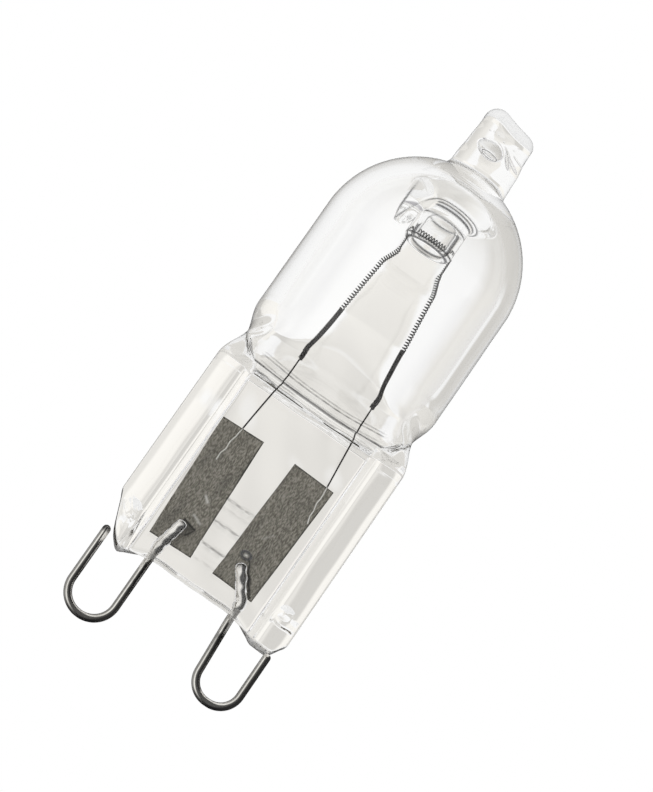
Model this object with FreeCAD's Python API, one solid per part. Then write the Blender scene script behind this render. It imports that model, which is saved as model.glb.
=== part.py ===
"""Halogen capsule bulb with two wire loops for a 9 mm bi-pin holder.

One blown and pinched quartz envelope holds everything: a coiled tungsten filament hung on a hollow stub
inside the dome, two thin molybdenum foils sealed flat in the pinch, and two bent wire loops welded to
the foils. Millimetres, +Z up. The origin is on the axis in the seating plane, under the feet of the
pinch. The loops point down, the pinch is widest along X, and -Y is the front.
"""

import FreeCAD, Part
import math
import os

Vector = FreeCAD.Vector

# Bulb: a round barrel under a half-round dome, in one wall of quartz
BULB_DIAMETER = 13.0
BARREL_HEIGHT = 7.6
WALL = 1.0

# Neck: where the round tube narrows and flattens into the pinch
NECK_HEIGHT = 4.05
NECK_WAIST = 12.06

# Pinch: a flat web between two thicker ribs that end in feet
PINCH_WIDTH = 13.4
PINCH_HEIGHT = 13.35
RIB_WIDTH = 1.9
RIB_THICKNESS = 4.6
RIB_FLANK = 0.4
RIB_ROUND = 1.2
WEB_THICKNESS = 2.8
WEB_TOP_DROP = 0.25
JAW_SLOPE = 0.6
FOOT_HEIGHT = 0.9
FOOT_WIDTH = 1.9
LEFT_CORNER_WIDTH = 0.95
LEFT_CORNER_HEIGHT = 3.3
LEFT_FOOT_INSET = 1.7
RIGHT_CORNER_WIDTH = 0.6
RIGHT_CORNER_HEIGHT = 1.0
BOSS_DIAMETER = 0.9
BOSS_HEIGHT = 0.18
BOSS_RISE = 2.4
BOSS_INSET = 1.15

# Chamber: the gas space, which ends in a narrow trough above the web
TROUGH_WIDTH = 8.8
TROUGH_DEPTH = 2.4
FLOOR_RISE = 0.55

# Exhaust tip on top of the dome, closed with a slanted end, and the bubble left of its bore
TIP_WIDTH = 4.0
TIP_DEPTH = 3.2
TIP_HEIGHT = 4.7
TIP_OFFSET = 0.15
TIP_SLANT_DEG = 11.0
TIP_FLARE = 0.7
TIP_FLARE_RISE = 0.2
TIP_ROUND = 1.3
TIP_EDGE = 0.4
BUBBLE_DIAMETER = 1.6
BUBBLE_HEIGHT = 2.0
BUBBLE_RISE = 1.9

# Stub: the hollow inner end of the exhaust tube, which carries the middle of the filament
STUB_DIAMETER = 3.26
STUB_LENGTH = 4.4
STUB_BORE = 2.0
STUB_BORE_DEPTH = 2.2
STUB_RIM = 0.3
STUB_FLARE = 1.9

# Foils: one under each filament end, leaning so that they stand closer together at the foot
FOIL_WIDTH = 2.9
FOIL_LENGTH = 8.3
FOIL_THICKNESS = 0.04
FOIL_SPACING = 4.82
FOIL_LEAN_DEG = 2.3
FOIL_SHIFT = -0.22
FOIL_RISE = 1.2

# Loops: round wire, welded on the front of the foils and bent back up beside the pinch
PIN_DIAMETER = 0.52
LOOP_SPACING = 9.07
LOOP_WIDTH = 3.1
LOOP_DROP = 4.33
LOOP_FLAT = 0.05
LOOP_LEAN = {"left": 0.0, "right": 0.3}
FREE_END_RISE = {"left": 1.0, "right": -0.05}
WELD_RISE = {"left": 3.7, "right": 3.6}
WELD_OFFSET = {"left": 0.1, "right": -0.55}
PIN_BEND_RISE = 0.75

# Filament: two close coils that taper in to the stub, with straight tails down to the foils
COIL_DIAMETER = 0.36
TAIL_DIAMETER = 0.12
COIL_FOOT_SPACING = 5.18
COIL_SHOULDER_SPACING = 3.78
COIL_HEAD_SPACING = 2.94
FILAMENT_SHIFT = 0.18
COIL_FOOT_RISE = 2.4
COIL_SHOULDER_DROP = 2.2
COIL_HEAD_DROP = 1.25
BRIDGE_RISE = 0.75
BRIDGE_WIDTH = 2.5
TAIL_FOIL_LENGTH = 2.6
TAIL_HEAD_SPACING = 6.16
TAIL_END_SPACING = 6.62
WELD_BITE = 0.03

# Shape of the lofted skins
SECTION_POINTS = 24
NECK_BANDS = 5
PINCH_SQUARENESS = 8.0
PARTING_STEP = 0.04
ROUND = 2.0
OVERLAP = 0.5
STRAIGHT = 1e-4
MITRED = 1

SIDES = {"left": -1, "right": 1}

# Heights that follow from the sizes above
BULB_RADIUS = BULB_DIAMETER / 2
NECK_TOP = PINCH_HEIGHT + NECK_HEIGHT
DOME_CENTRE = NECK_TOP + BARREL_HEIGHT
DOME_TOP = DOME_CENTRE + BULB_RADIUS
CHAMBER_FLOOR = PINCH_HEIGHT + FLOOR_RISE
CHAMBER_TOP = DOME_TOP - WALL
STUB_END = CHAMBER_TOP - STUB_LENGTH
FOIL_FOOT = FOOT_HEIGHT + FOIL_RISE
FOIL_HEAD = FOIL_FOOT + FOIL_LENGTH
PIN_PLANE = WELD_BITE - (FOIL_THICKNESS + PIN_DIAMETER) / 2
TAIL_PLANE = WELD_BITE - (FOIL_THICKNESS + TAIL_DIAMETER) / 2


def blend(start, end, share):
    """A smooth step from start to end, level at both."""
    share = min(max(share, 0.0), 1.0)
    return start + (end - start) * share * share * (3 - 2 * share)


def section(half_width, half_depth, squareness, height):
    """A closed level outline: an ellipse at squareness 2, and a rounded rectangle above that."""
    points = []
    for i in range(SECTION_POINTS):
        turn = 2 * math.pi * i / SECTION_POINTS
        across, along = math.cos(turn), math.sin(turn)
        reach = (abs(across) ** squareness + abs(along) ** squareness) ** (-1 / squareness)
        points.append(Vector(half_width * reach * across, half_depth * reach * along, height))
    curve = Part.BSplineCurve()
    curve.interpolate(Points=points, PeriodicFlag=True)
    return Part.Wire(curve.toShape())


def neck(floor, narrow_width, narrow_depth, radius, waist_cut, squareness):
    """A solid in short straight bands, from a flat outline at the floor to a circle under the barrel."""
    wires = []
    for i in range(NECK_BANDS):
        share = i / NECK_BANDS
        half_width = blend(narrow_width / 2, radius, share) - waist_cut * math.sin(math.pi * share) ** 2
        half_depth = blend(narrow_depth / 2, radius, share)
        height = floor + (NECK_TOP - floor) * share
        wires.append(section(half_width, half_depth, blend(squareness, ROUND, share), height))
    wires.append(Part.Wire(Part.makeCircle(radius, Vector(0, 0, NECK_TOP))))
    return Part.makeLoft(wires, True, True)


def bulb(radius):
    """A round barrel above the neck with a half-round dome on it."""
    shoulder = radius * math.sqrt(0.5)
    return revolved([
        (0, NECK_TOP),
        (radius, NECK_TOP),
        (radius, DOME_CENTRE),
        ((shoulder, DOME_CENTRE + shoulder), (0, DOME_CENTRE + radius)),
        (0, NECK_TOP),
    ])


def rounded_slab(width, depth, foot, top, radius):
    """An upright block centred on the axis, with its four standing edges rounded."""
    block = Part.makeBox(width, depth, top - foot, Vector(-width / 2, -depth / 2, foot))
    standing = [edge for edge in block.Edges if edge.BoundBox.ZLength > (top - foot) / 2]
    return block.makeFillet(radius, standing)


def outer_skin():
    """The envelope's outside before the jaws press the web: pinch, neck and bulb."""
    width, depth = PINCH_WIDTH - 2 * PARTING_STEP, RIB_THICKNESS - 2 * PARTING_STEP
    waist_cut = (width / 2 + BULB_RADIUS - NECK_WAIST) / 2
    shoulder = neck(PINCH_HEIGHT, width, depth, BULB_RADIUS, waist_cut, PINCH_SQUARENESS)
    slab = rounded_slab(PINCH_WIDTH, RIB_THICKNESS, -OVERLAP, PINCH_HEIGHT, RIB_ROUND)
    return shoulder.fuse([slab, bulb(BULB_RADIUS)])


def chamber():
    """The gas space, from the trough above the web up to the inside of the dome."""
    inner = BULB_RADIUS - WALL
    return neck(CHAMBER_FLOOR, TROUGH_WIDTH, TROUGH_DEPTH, inner, 0.0, ROUND).fuse(bulb(inner))


def revolved(points):
    """A solid turned about the axis from (radius, height) points, where a pair of points is an arc."""
    edges, last = [], None
    for item in points:
        if isinstance(item[0], tuple):
            middle, end = [Vector(r, 0, z) for r, z in item]
            edges.append(Part.Arc(last, middle, end).toShape())
        else:
            end = Vector(item[0], 0, item[1])
            if last is not None:
                edges.append(Part.LineSegment(last, end).toShape())
        last = end
    face = Part.Face(Part.Wire(edges))
    return face.revolve(Vector(0, 0, 0), Vector(0, 0, 1), 360)


def stub():
    """The hollow stub inside the dome: a rounded rim, a straight stem and a flare that joins the dome."""
    outer, bore = STUB_DIAMETER / 2, STUB_BORE / 2
    bore_top = STUB_END + STUB_BORE_DEPTH
    inner = BULB_RADIUS - WALL
    flare_reach = outer + STUB_FLARE
    dome_there = DOME_CENTRE + math.sqrt(inner ** 2 - flare_reach ** 2)
    flare_foot = dome_there - STUB_FLARE
    return revolved([
        (0, bore_top),
        (bore, bore_top - bore / 2),
        (bore, STUB_END),
        (outer - STUB_RIM, STUB_END),
        (outer, STUB_END + STUB_RIM),
        (outer, flare_foot),
        (flare_reach, dome_there),
        (flare_reach, DOME_TOP - WALL / 2),
        (0, DOME_TOP - WALL / 2),
        (0, bore_top),
    ])


def tip():
    """The closed end of the exhaust tube: a squarish stem with a flared foot and a slanted, bevelled top."""
    foot = DOME_TOP - WALL
    top = DOME_TOP + TIP_HEIGHT
    stem = rounded_slab(TIP_WIDTH, TIP_DEPTH, foot, top, TIP_ROUND)
    lid = Part.makeBox(2 * TIP_WIDTH, TIP_WIDTH, TIP_WIDTH, Vector(-TIP_WIDTH / 2, -TIP_WIDTH / 2, top))
    stem = stem.cut(lid.rotated(Vector(-TIP_WIDTH / 2, 0, top), Vector(0, 1, 0), TIP_SLANT_DEG))
    end_face = max(stem.Faces, key=lambda face: face.CenterOfMass.z)
    stem = stem.makeChamfer(TIP_EDGE, end_face.Edges)
    width, depth = TIP_WIDTH + 2 * TIP_FLARE, TIP_DEPTH + 2 * TIP_FLARE
    skirt = rounded_slab(width, depth, foot, DOME_TOP + TIP_FLARE_RISE, TIP_ROUND + TIP_FLARE / 2)
    skirt_face = max(skirt.Faces, key=lambda face: face.CenterOfMass.z)
    shape = stem.fuse(skirt.makeChamfer(TIP_FLARE, skirt_face.Edges))
    shape.translate(Vector(TIP_OFFSET, 0, 0))
    return shape


def bubble():
    """The hollow that stays in the tip when the exhaust tube is melted shut: a spindle on the tip's axis."""
    middle = DOME_TOP + BUBBLE_RISE
    low, high = middle - BUBBLE_HEIGHT / 2, middle + BUBBLE_HEIGHT / 2
    shape = revolved([(0, low), (BUBBLE_DIAMETER / 2, middle), (0, high), (0, low)])
    shape.translate(Vector(TIP_OFFSET, 0, 0))
    return shape


def jaw_pocket(front):
    """What the jaws press away on one face of the pinch: the room between the ribs, with drafted sides."""
    face_y, past_y = WEB_THICKNESS / 2, RIB_THICKNESS
    half = PINCH_WIDTH / 2 - RIB_WIDTH - RIB_FLANK
    top = PINCH_HEIGHT - WEB_TOP_DROP
    rib_step = (RIB_THICKNESS - WEB_THICKNESS) / 2
    wires = []
    for y in (face_y, past_y):
        out = (y - face_y) / rib_step
        reach, peak = half + RIB_FLANK * out, top + JAW_SLOPE * out
        corners = [(-reach, -2 * OVERLAP), (reach, -2 * OVERLAP), (reach, peak), (-reach, peak)]
        wires.append(Part.makePolygon([Vector(x, front * y, z) for x, z in corners + corners[:1]]))
    return Part.makeLoft(wires, True, True)


def underside():
    """The room below the pinch: flat under the web, with a foot on each rib and cut corners outside them."""
    half, far = PINCH_WIDTH / 2, PINCH_WIDTH
    web_half = half - RIB_WIDTH - FOOT_WIDTH
    outline = [
        (-far, -far),
        (-far, LEFT_CORNER_HEIGHT),
        (-half, LEFT_CORNER_HEIGHT),
        (-half + LEFT_CORNER_WIDTH, FOOT_HEIGHT),
        (-half + LEFT_FOOT_INSET, 0),
        (-web_half, FOOT_HEIGHT),
        (web_half, FOOT_HEIGHT),
        (half - RIB_WIDTH, 0),
        (half - RIGHT_CORNER_WIDTH, 0),
        (half, RIGHT_CORNER_HEIGHT),
        (far, RIGHT_CORNER_HEIGHT),
        (far, -far),
    ]
    face = Part.Face(Part.makePolygon([Vector(x, -far, z) for x, z in outline + outline[:1]]))
    return face.extrude(Vector(0, 2 * far, 0))


def bosses():
    """A small round nub on the front and back of each rib, which a holder's spring snaps over."""
    nubs = []
    for side in SIDES.values():
        for front in (-1, 1):
            x = side * (PINCH_WIDTH / 2 - BOSS_INSET)
            seat = Vector(x, front * (RIB_THICKNESS / 2 - BOSS_HEIGHT), BOSS_RISE)
            nubs.append(Part.makeCylinder(BOSS_DIAMETER / 2, 2 * BOSS_HEIGHT, seat, Vector(0, front, 0)))
    return nubs


def bent_path(points, radii):
    """A path of straight runs through the points, with an arc (or at radius 0 a kink) at each corner."""
    edges, last = [], points[0]
    for before, corner, after, radius in zip(points, points[1:], points[2:], radii):
        back, ahead = (before - corner).normalize(), (after - corner).normalize()
        half_angle = back.getAngle(ahead) / 2
        if math.pi / 2 - half_angle < STRAIGHT:
            continue
        run = radius / math.tan(half_angle)
        start, end = corner + back * run, corner + ahead * run
        edges.append(Part.LineSegment(last, start).toShape())
        if radius > 0:
            inward = (back + ahead).normalize()
            middle = corner + inward * (radius / math.sin(half_angle) - radius)
            edges.append(Part.Arc(start, middle, end).toShape())
        last = end
    edges.append(Part.LineSegment(last, points[-1]).toShape())
    return Part.Wire(edges)


def round_rod(path, diameter):
    """Round wire along a path, mitred at its kinks and cut square at both ends."""
    start = path.Edges[0]
    along = start.tangentAt(start.FirstParameter)
    ring = Part.Wire(Part.makeCircle(diameter / 2, path.OrderedVertexes[0].Point, along))
    return path.makePipeShell([ring], True, False, MITRED)


def foil_centre(side):
    """Where a foil's middle stands along X."""
    return FOIL_SHIFT + side * FOIL_SPACING / 2


def foil(side):
    """A flat molybdenum strip in the middle of the web."""
    strip = Part.makeBox(
        FOIL_WIDTH,
        FOIL_THICKNESS,
        FOIL_LENGTH,
        Vector(foil_centre(side) - FOIL_WIDTH / 2, -FOIL_THICKNESS / 2, FOIL_FOOT),
    )
    middle = Vector(foil_centre(side), 0, FOIL_FOOT + FOIL_LENGTH / 2)
    strip.rotate(middle, Vector(0, 1, 0), side * FOIL_LEAN_DEG)
    return strip


def loop_pin(name, own_foil):
    """One contact loop: from its weld on the foil down out of the web, round a U and up to its free end."""
    side = SIDES[name]
    inner = side * (LOOP_SPACING - LOOP_WIDTH) / 2
    outer = side * (LOOP_SPACING + LOOP_WIDTH) / 2
    weld_x = foil_centre(side) + WELD_OFFSET[name]
    weld_foot = FOOT_HEIGHT + PIN_BEND_RISE
    turn = (LOOP_WIDTH - LOOP_LEAN[name] - LOOP_FLAT) / 2
    places = [
        (weld_x, WELD_RISE[name]),
        (inner, weld_foot),
        (inner, FOOT_HEIGHT / 2),
        (inner + side * LOOP_LEAN[name], -LOOP_DROP),
        (outer, -LOOP_DROP),
        (outer, FREE_END_RISE[name]),
    ]
    path = bent_path([Vector(x, PIN_PLANE, z) for x, z in places], [0, 0, turn, turn])
    return round_rod(path, PIN_DIAMETER).cut(own_foil)


def filament(foils):
    """The tungsten filament: a coil up each side and through the stub, as its outer form, and two tails."""
    bridge = STUB_END + BRIDGE_RISE
    shoulder, head = STUB_END - COIL_SHOULDER_DROP, STUB_END - COIL_HEAD_DROP
    foot = CHAMBER_FLOOR + COIL_FOOT_RISE
    spacing = [
        (COIL_FOOT_SPACING, foot),
        (COIL_SHOULDER_SPACING, shoulder),
        (COIL_HEAD_SPACING, head),
        (BRIDGE_WIDTH, bridge),
    ]
    places = [(-width / 2, z) for width, z in spacing] + [(width / 2, z) for width, z in reversed(spacing)]
    points = [Vector(FILAMENT_SHIFT + x, TAIL_PLANE, z) for x, z in places]
    coil = round_rod(Part.makePolygon(points), COIL_DIAMETER)
    tails = []
    for side in SIDES.values():
        places = [
            (FILAMENT_SHIFT + side * COIL_FOOT_SPACING / 2, foot + COIL_DIAMETER),
            (FILAMENT_SHIFT + side * TAIL_HEAD_SPACING / 2, FOIL_HEAD),
            (FILAMENT_SHIFT + side * TAIL_END_SPACING / 2, FOIL_HEAD - TAIL_FOIL_LENGTH),
        ]
        path = Part.makePolygon([Vector(x, TAIL_PLANE, z) for x, z in places])
        tails.append(round_rod(path, TAIL_DIAMETER))
    return coil.fuse(tails).removeSplitter().cut(foils)


def envelope(embedded):
    """The quartz, less the gas space, the bubble, the jaw marks and the metal sealed into it."""
    outside = outer_skin().cut([jaw_pocket(-1), jaw_pocket(1), underside()])
    outside = outside.fuse([tip()] + bosses())
    quartz = outside.cut(chamber().cut(stub())).cut(bubble())
    return quartz.cut(embedded).removeSplitter()


def main():
    """Builds the metal first, then the quartz round it, and writes one STEP file for each piece."""
    foils = {name: foil(side) for name, side in SIDES.items()}
    pins = {name: loop_pin(name, foils[name]) for name in SIDES}
    wire = filament(list(foils.values()))
    metal = list(foils.values()) + list(pins.values()) + [wire]
    nodes = {"quartz_envelope": envelope(metal), "filament": wire}
    for name in SIDES:
        nodes["foil_" + name] = foils[name]
        nodes["loop_pin_" + name] = pins[name]
    os.makedirs("parts", exist_ok=True)
    for name, shape in nodes.items():
        shape.exportStep(os.path.join("parts", name + ".step"))
        print(name, len(shape.Solids), "solid, valid:", shape.isValid(), "volume %.4f mm3" % shape.Volume)


main()
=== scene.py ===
"""Looks of a halogen capsule bulb: clear quartz, coiled filament, foils and wire loops on a pale floor."""

import math

import bmesh
import bpy
import numpy as np
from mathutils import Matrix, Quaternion, Vector


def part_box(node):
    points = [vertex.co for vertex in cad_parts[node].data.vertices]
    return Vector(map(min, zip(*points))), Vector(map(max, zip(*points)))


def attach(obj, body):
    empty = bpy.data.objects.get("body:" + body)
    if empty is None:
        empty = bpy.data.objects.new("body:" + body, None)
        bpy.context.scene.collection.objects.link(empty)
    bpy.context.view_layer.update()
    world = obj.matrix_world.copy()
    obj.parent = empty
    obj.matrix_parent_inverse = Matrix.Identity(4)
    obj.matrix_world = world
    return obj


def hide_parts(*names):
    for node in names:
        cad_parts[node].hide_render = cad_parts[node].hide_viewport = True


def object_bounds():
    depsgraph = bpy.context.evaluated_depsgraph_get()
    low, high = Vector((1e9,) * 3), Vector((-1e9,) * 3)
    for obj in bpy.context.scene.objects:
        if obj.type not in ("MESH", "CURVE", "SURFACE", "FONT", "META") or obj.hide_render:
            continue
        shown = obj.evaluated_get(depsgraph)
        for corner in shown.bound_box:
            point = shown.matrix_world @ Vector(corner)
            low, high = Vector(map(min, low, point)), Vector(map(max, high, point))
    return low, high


bl_info = {
    "name": "Halogen Capsule Bulb",
    "version": (1, 0, 0),
    "blender": (4, 5, 0),
    "location": "View3D > Sidebar > Capsule Bulb",
    "description": "Builds a clear capsule bulb with its filament, foils and wire loops",
    "category": "Object",
}

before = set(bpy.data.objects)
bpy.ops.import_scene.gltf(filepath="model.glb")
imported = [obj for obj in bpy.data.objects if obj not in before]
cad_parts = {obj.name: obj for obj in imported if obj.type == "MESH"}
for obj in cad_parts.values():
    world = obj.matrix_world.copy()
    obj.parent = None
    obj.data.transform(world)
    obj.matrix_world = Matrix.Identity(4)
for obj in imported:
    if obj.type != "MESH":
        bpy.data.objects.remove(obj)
CAD_BOX = [list(corner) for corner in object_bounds()]

MM = 0.001
SEED = 7
SIDES = ("left", "right")


def node_box(node):
    """The lowest and highest corner of a CAD node, in millimetres."""
    return [np.array(corner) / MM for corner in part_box(node)]


QUARTZ_LOW, QUARTZ_HIGH = node_box("quartz_envelope")

# Bulb and neck, in millimetres, with the seat at height 0
BULB_RADIUS = 6.5
WALL = 1.0
DOME_CENTRE = 25.0
NECK_WALL = 0.85
NECK_WALL_ENDS = (14.0, 18.4)
WAIST_TOP = 17.4
WAIST_CUT = 0.57
WEB_HALF = 1.4
WEB_TOP = 13.25
NECK_SLOPE = math.radians(58)
NECK_ROUND = 4.0
NECK_BEND_DEPTH = BULB_RADIUS - NECK_ROUND * (1 - math.cos(NECK_SLOPE))
NECK_BEND = WEB_TOP + (NECK_BEND_DEPTH - WEB_HALF) / math.tan(NECK_SLOPE)
NECK_TOP = NECK_BEND + NECK_ROUND * math.sin(NECK_SLOPE)
LOW_NECK = 1.2

# Pinch: two ribs, the web between them, feet, jaw ridges and bosses
PINCH_TOP = 13.35
PINCH_HALF = (QUARTZ_HIGH[0] - QUARTZ_LOW[0]) / 2
PINCH_SQUARENESS = 8.0
RIB_HALF = 2.3
RIB_INNER = 4.4
RIB_FLANK = 0.6
RIB_CLEARANCE = 0.1
RIB_WAVE = 0.006
WEB_CORNER = 0.2
WEB_EDGE_DROP = 0.05
FEET_X = (-6.7, -5.75, -5.0, -2.9, 2.9, 4.8, 6.1, 6.7)
FEET_Z = (3.3, 0.9, 0.0, 0.9, 0.9, 0.0, 0.0, 1.0)
FEET_SOFTNESS = 0.2
FEET_WAVE = 0.03
FOOT_ROUND = 0.15
FOOT_LIFT = 0.7
FOOT_NARROWING = 0.3
FOOT_SLANT = 0.06
WEB_SLANT = 0.21
WEB_DROP = 0.38
WEB_ENDS = (2.9, 4.6)
RIDGE_HEIGHTS = (2.2, 3.2, 4.7, 5.65, 6.2)
RIDGE_DEPTHS = (0.03, 0.10, 0.09, 0.03, 0.09)
RIDGE_SPAN = (-1.2, 0.75)
RIDGE_RISE = 0.4
RIDGE_WIDTH = 0.08
RIDGE_FADE = 0.2
BOSS_X = 5.5
BOSS_Z = 2.4
BOSS_RISE = 0.2
BOSS_EDGE = (0.25, 0.5)

# Tip, with the fillet at its foot and its melted end
TIP_FOOT_HALF = 2.03
TIP_HEAD_HALF = 1.88
TIP_HALF_DEPTH = 1.55
TIP_CENTRE = 0.15
TIP_SQUARENESS = 3.4
TIP_TOP = QUARTZ_HIGH[2]
TIP_ROUND = 0.5
TIP_FILLET_RADIUS = 2.35
TIP_FILLET_DROP = 0.2
TIP_FILLET_TOP = 31.8
LID_X = (-1.9, -1.6, -0.8, 0.36, 1.63, 2.1)
LID_DROP = (0.42, 0.2, 0.0, 0.36, 0.6, 0.8)
LID_SOFTNESS = 0.3
LID_CLEARANCE = 0.06
LID_DOME = 0.35
# Hollows in the tip: centre, half sizes, tilt, and how dark the painted shade on their edges and faces is
TIP_HOLLOWS = (
    ((-0.15, 0.25, 33.5), (0.85, 0.35, 0.68), 0.12, 0.3, 0.12),
    ((-0.08, -0.55, 33.02), (0.6, 0.2, 0.27), 0.05, 1.6, 0.0),
    ((0.95, -0.5, 33.4), (0.14, 0.15, 0.62), -0.6, 0.7, 0.05),
    ((1.3, -0.35, 33.35), (0.12, 0.15, 0.5), -0.85, 0.6, 0.05),
    ((1.45, -0.6, 33.72), (0.08, 0.12, 0.4), -1.15, 0.5, 0.0),
    ((0.7, -0.45, 33.85), (0.07, 0.15, 0.4), -1.0, 0.5, 0.0),
)
TIP_SEEDS = (
    (-0.85, -0.6, 34.35),
    (-0.6, -0.5, 34.45),
    (-0.3, -0.6, 34.38),
    (0.2, -0.6, 34.2),
    (1.1, -0.5, 34.45),
    (0.95, -0.6, 34.15),
)
TIP_SEED_HALF = (0.09, 0.06, 0.05)
TIP_SEED_TILT = 0.2

# Slot under the gas space, and the trough above it
SLOT_HALF = 4.4
SLOT_FLOOR = 13.7
SLOT_SAG = 0.1
SLOT_WAVE = 0.05
SLOT_NARROWING = 0.06
SLOT_SHARES = (0.0, 0.3, 0.55, 0.72, 0.83, 0.9, 0.95, 0.975, 0.99, 0.998)
TROUGH_FOOT = 0.25
TROUGH_HEIGHT = 2.2
TROUGH_CORNER = 0.9

# Stub inside the dome, the flare it hangs from and the fin at its left
STUB_RADIUS = 1.66
STUB_BORE = 1.06
STUB_END = 25.98
STUB_RIM = 0.35
STUB_BORE_TOP = 28.3
STUB_BORE_END = 0.5 * STUB_BORE
FLARE_RADIUS = 3.3
FLARE_FLOOR = 28.72
FLARE_FILLET = 0.42
FLARE_START = 0.35
FLARE_BEND_RADIUS = 2.9
FLARE_BEND_RISE = 0.13
FIN_SHARPNESS = 5
FIN_DROP = 2.2
FIN_REACH = 0.62
FIN_BEND_REACH = 0.25
FIN_BEND_DROP = 0.8
FIN_CORNER_REACH = 0.4
FIN_CORNER_DROP = 0.3
FIN_FOOT_DROP = 1.1

# Lengths of the slow waves in the worked quartz
PINCH_WAVE_LENGTH = 3.5
BARREL_WAVE_LENGTH = 5.0
TIP_WAVE_LENGTH = 1.8
TROUGH_WAVE_LENGTH = 2.5

# Painted shade lines in the quartz, where its folds, ridges, web edge, trough rim and swirls look dark:
# heights, strengths, bows and widths
FOLDS = ((14.1, 1.2), (14.24, 0.8))
FOLD_BOW = 0.012
FOLD_LINE = 0.03
RIDGE_LINE = 0.1
RIDGE_STRENGTH = 9.0
RIDGE_SHADE_DEPTH = -0.9
RIDGE_SHADE_TOP = 15.5
WEB_EDGE_LINE = 0.05
TROUGH_RIM = 14.1
TROUGH_RIM_BOW = 0.01
TROUGH_RIM_LINE = 0.05
TROUGH_RIM_FRONT = 1.8
TROUGH_RIM_BACK = 1.2
TROUGH_LINES_HALF = (5.0, 2.0)
TROUGH_LINES_SPAN = (13.6, 14.7)
SWIRL_LEFT = (1.1, 1.9)
SWIRL_RIGHT = (3.0, 3.4)
SWIRL_STRENGTH = 1.1
SWIRL_DROP = 0.22
SWIRL_LINE = 0.14
# Painted shade lines on the edges of the stub: radius, height, width of the line and strength
STUB_EDGES = (
    (1.64, 26.24, 0.06, 2.5),
    (1.45, 26.02, 0.09, 2.5),
    (1.09, 26.22, 0.06, 2.5),
    (0.98, 28.05, 0.1, 1.2),
    (1.69, 28.44, 0.06, 2.5),
    (1.82, 28.6, 0.06, 2.5),
)
# Painted shade on the sides of the stub and of its bore: radius, and how far in depth each side reaches
STUB_SIDES = ((STUB_RADIUS, 0.5), (STUB_BORE, 0.2))
STUB_SIDE_SPAN = (26.5, 28.0)
STUB_SIDE_FADE = 0.3
STUB_SIDE_SKIN = 0.04
STUB_LINE_HEIGHT = 27.85
STUB_LINE_STRENGTH = 1.2
STUB_LINE = (0.05, 0.07)
FIN_LINE = 0.06
FIN_OUTLINE_RADIUS = 2.8
FIN_OUTLINE_SPREAD = 0.42
FIN_OUTLINE_LINE = 0.07
FIN_OUTLINE_STRENGTH = 2.2
FIN_OUTLINE_SPAN = (26.0, 29.8)

# Blister in the quartz over the right foil
BLISTER_PLACE = (1.63, -0.16, 4.2)
BLISTER_HALF = (0.42, 0.02, 0.31)

# Loops of wire, in millimetres
PIN_RADIUS = 0.26
PIN_SIDES = 40
PIN_PLANE = -0.25
SHEATH_GAP = 0.02
SHEATH_FOOT = 1.0
LOOP_INNER = {"left": -2.985, "right": 2.985}
LOOP_LEAN = {"left": 0.0, "right": 0.3}
LOOP_WELD = {"left": (-2.5, 3.75), "right": (1.6, 3.65)}
LOOP_FREE_END = {"left": 1.0, "right": 0.12}
LOOP_BEND = 1.65
LOOP_KINK = 0.45
LOOP_BEND_RADIUS = 0.5
# Painted shade on the loops: along the right of the sealed part, weaker lower down, and on top of a free
# end
SEALED_SHADE_ENDS = (1.0, 1.3)
LOWER_SHADE_ENDS = (-2.5, -0.5)
LOWER_SHADE_SHARE = 0.75
SHADED_SIDE_SPAN = (-0.35, 0.25)
FREE_END_SHADE = 0.9
FREE_END_SPAN = (0.4, 0.75)
CRINKLE_ENDS = (1.0, 1.4)
CRINKLE_WIDENING = 0.3
CRINKLE_WAVE = 0.14
CRINKLE_FLATTENING = 0.3

# Sealing foils, in millimetres
FOIL_WIDTH = 2.9
FOIL_LENGTH = 8.3
FOIL_THICKNESS = 0.04
FOIL_LEAN = {"left": math.radians(-2.3), "right": math.radians(2.3)}
# Painted shade along each foil's right edge and its ends, and random mottling
FOIL_EDGE = (0.14, 0.02)
FOIL_SIDE_SHADE = 0.75
FOIL_END_SHADE = 0.6
FOIL_MOTTLING = 0.2
FOIL_CREASE_GAP = 1.2
FOIL_CREASE_SLANT = 1.3
# Painted shadow beside each weld: start and end down the wire, inner and outer edge aside of it, strength
WELD_SHADES = {
    "left": ((-0.1, 0.9, 0.2, 0.8, 0.6), (-0.15, 0.0, -0.2, 0.85, 0.95), (0.0, 0.6, 0.72, 0.85, 0.95)),
    "right": ((-0.2, 2.2, 0.42, 0.56, 0.95), (0.0, 2.2, 0.2, 0.42, 0.3)),
}
WELD_SHADE_SLANT = {"left": 0.45, "right": 0.0}
WELD_SHADE_FADE = 0.1
# Painted shadow at the top of each loop's weld: its size and how far below the weld it sits
WELD_SHADOW_SIZE = 0.22
WELD_SHADOW_DROP = 0.1
# Bright scratches on each foil, and on the right one a painted highlight in the blister's middle: two ends
# and a strength
SCRATCHES_AND_GLINTS = {
    "left": (((-2.35, 5.75), (-2.05, 5.5), 0.9), ((-2.3, 4.4), (-1.7, 4.15), 0.6)),
    "right": (((1.6, 4.2), (1.66, 4.2), 1.0), ((2.3, 6.1), (1.9, 5.6), 0.2)),
}
STROKE_WIDTH = 0.07

# Colours of bare metal where scratches and painted highlights lighten it and where painted shade and
# mottling darken it, and the depth of its grain
SCRATCH_AND_GLINT_COLOUR = (0.75, 0.74, 0.7, 1)
SHADE_AND_MOTTLE_COLOUR = (0.03, 0.03, 0.03, 1)
METAL_RELIEF = 0.03 * MM

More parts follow.
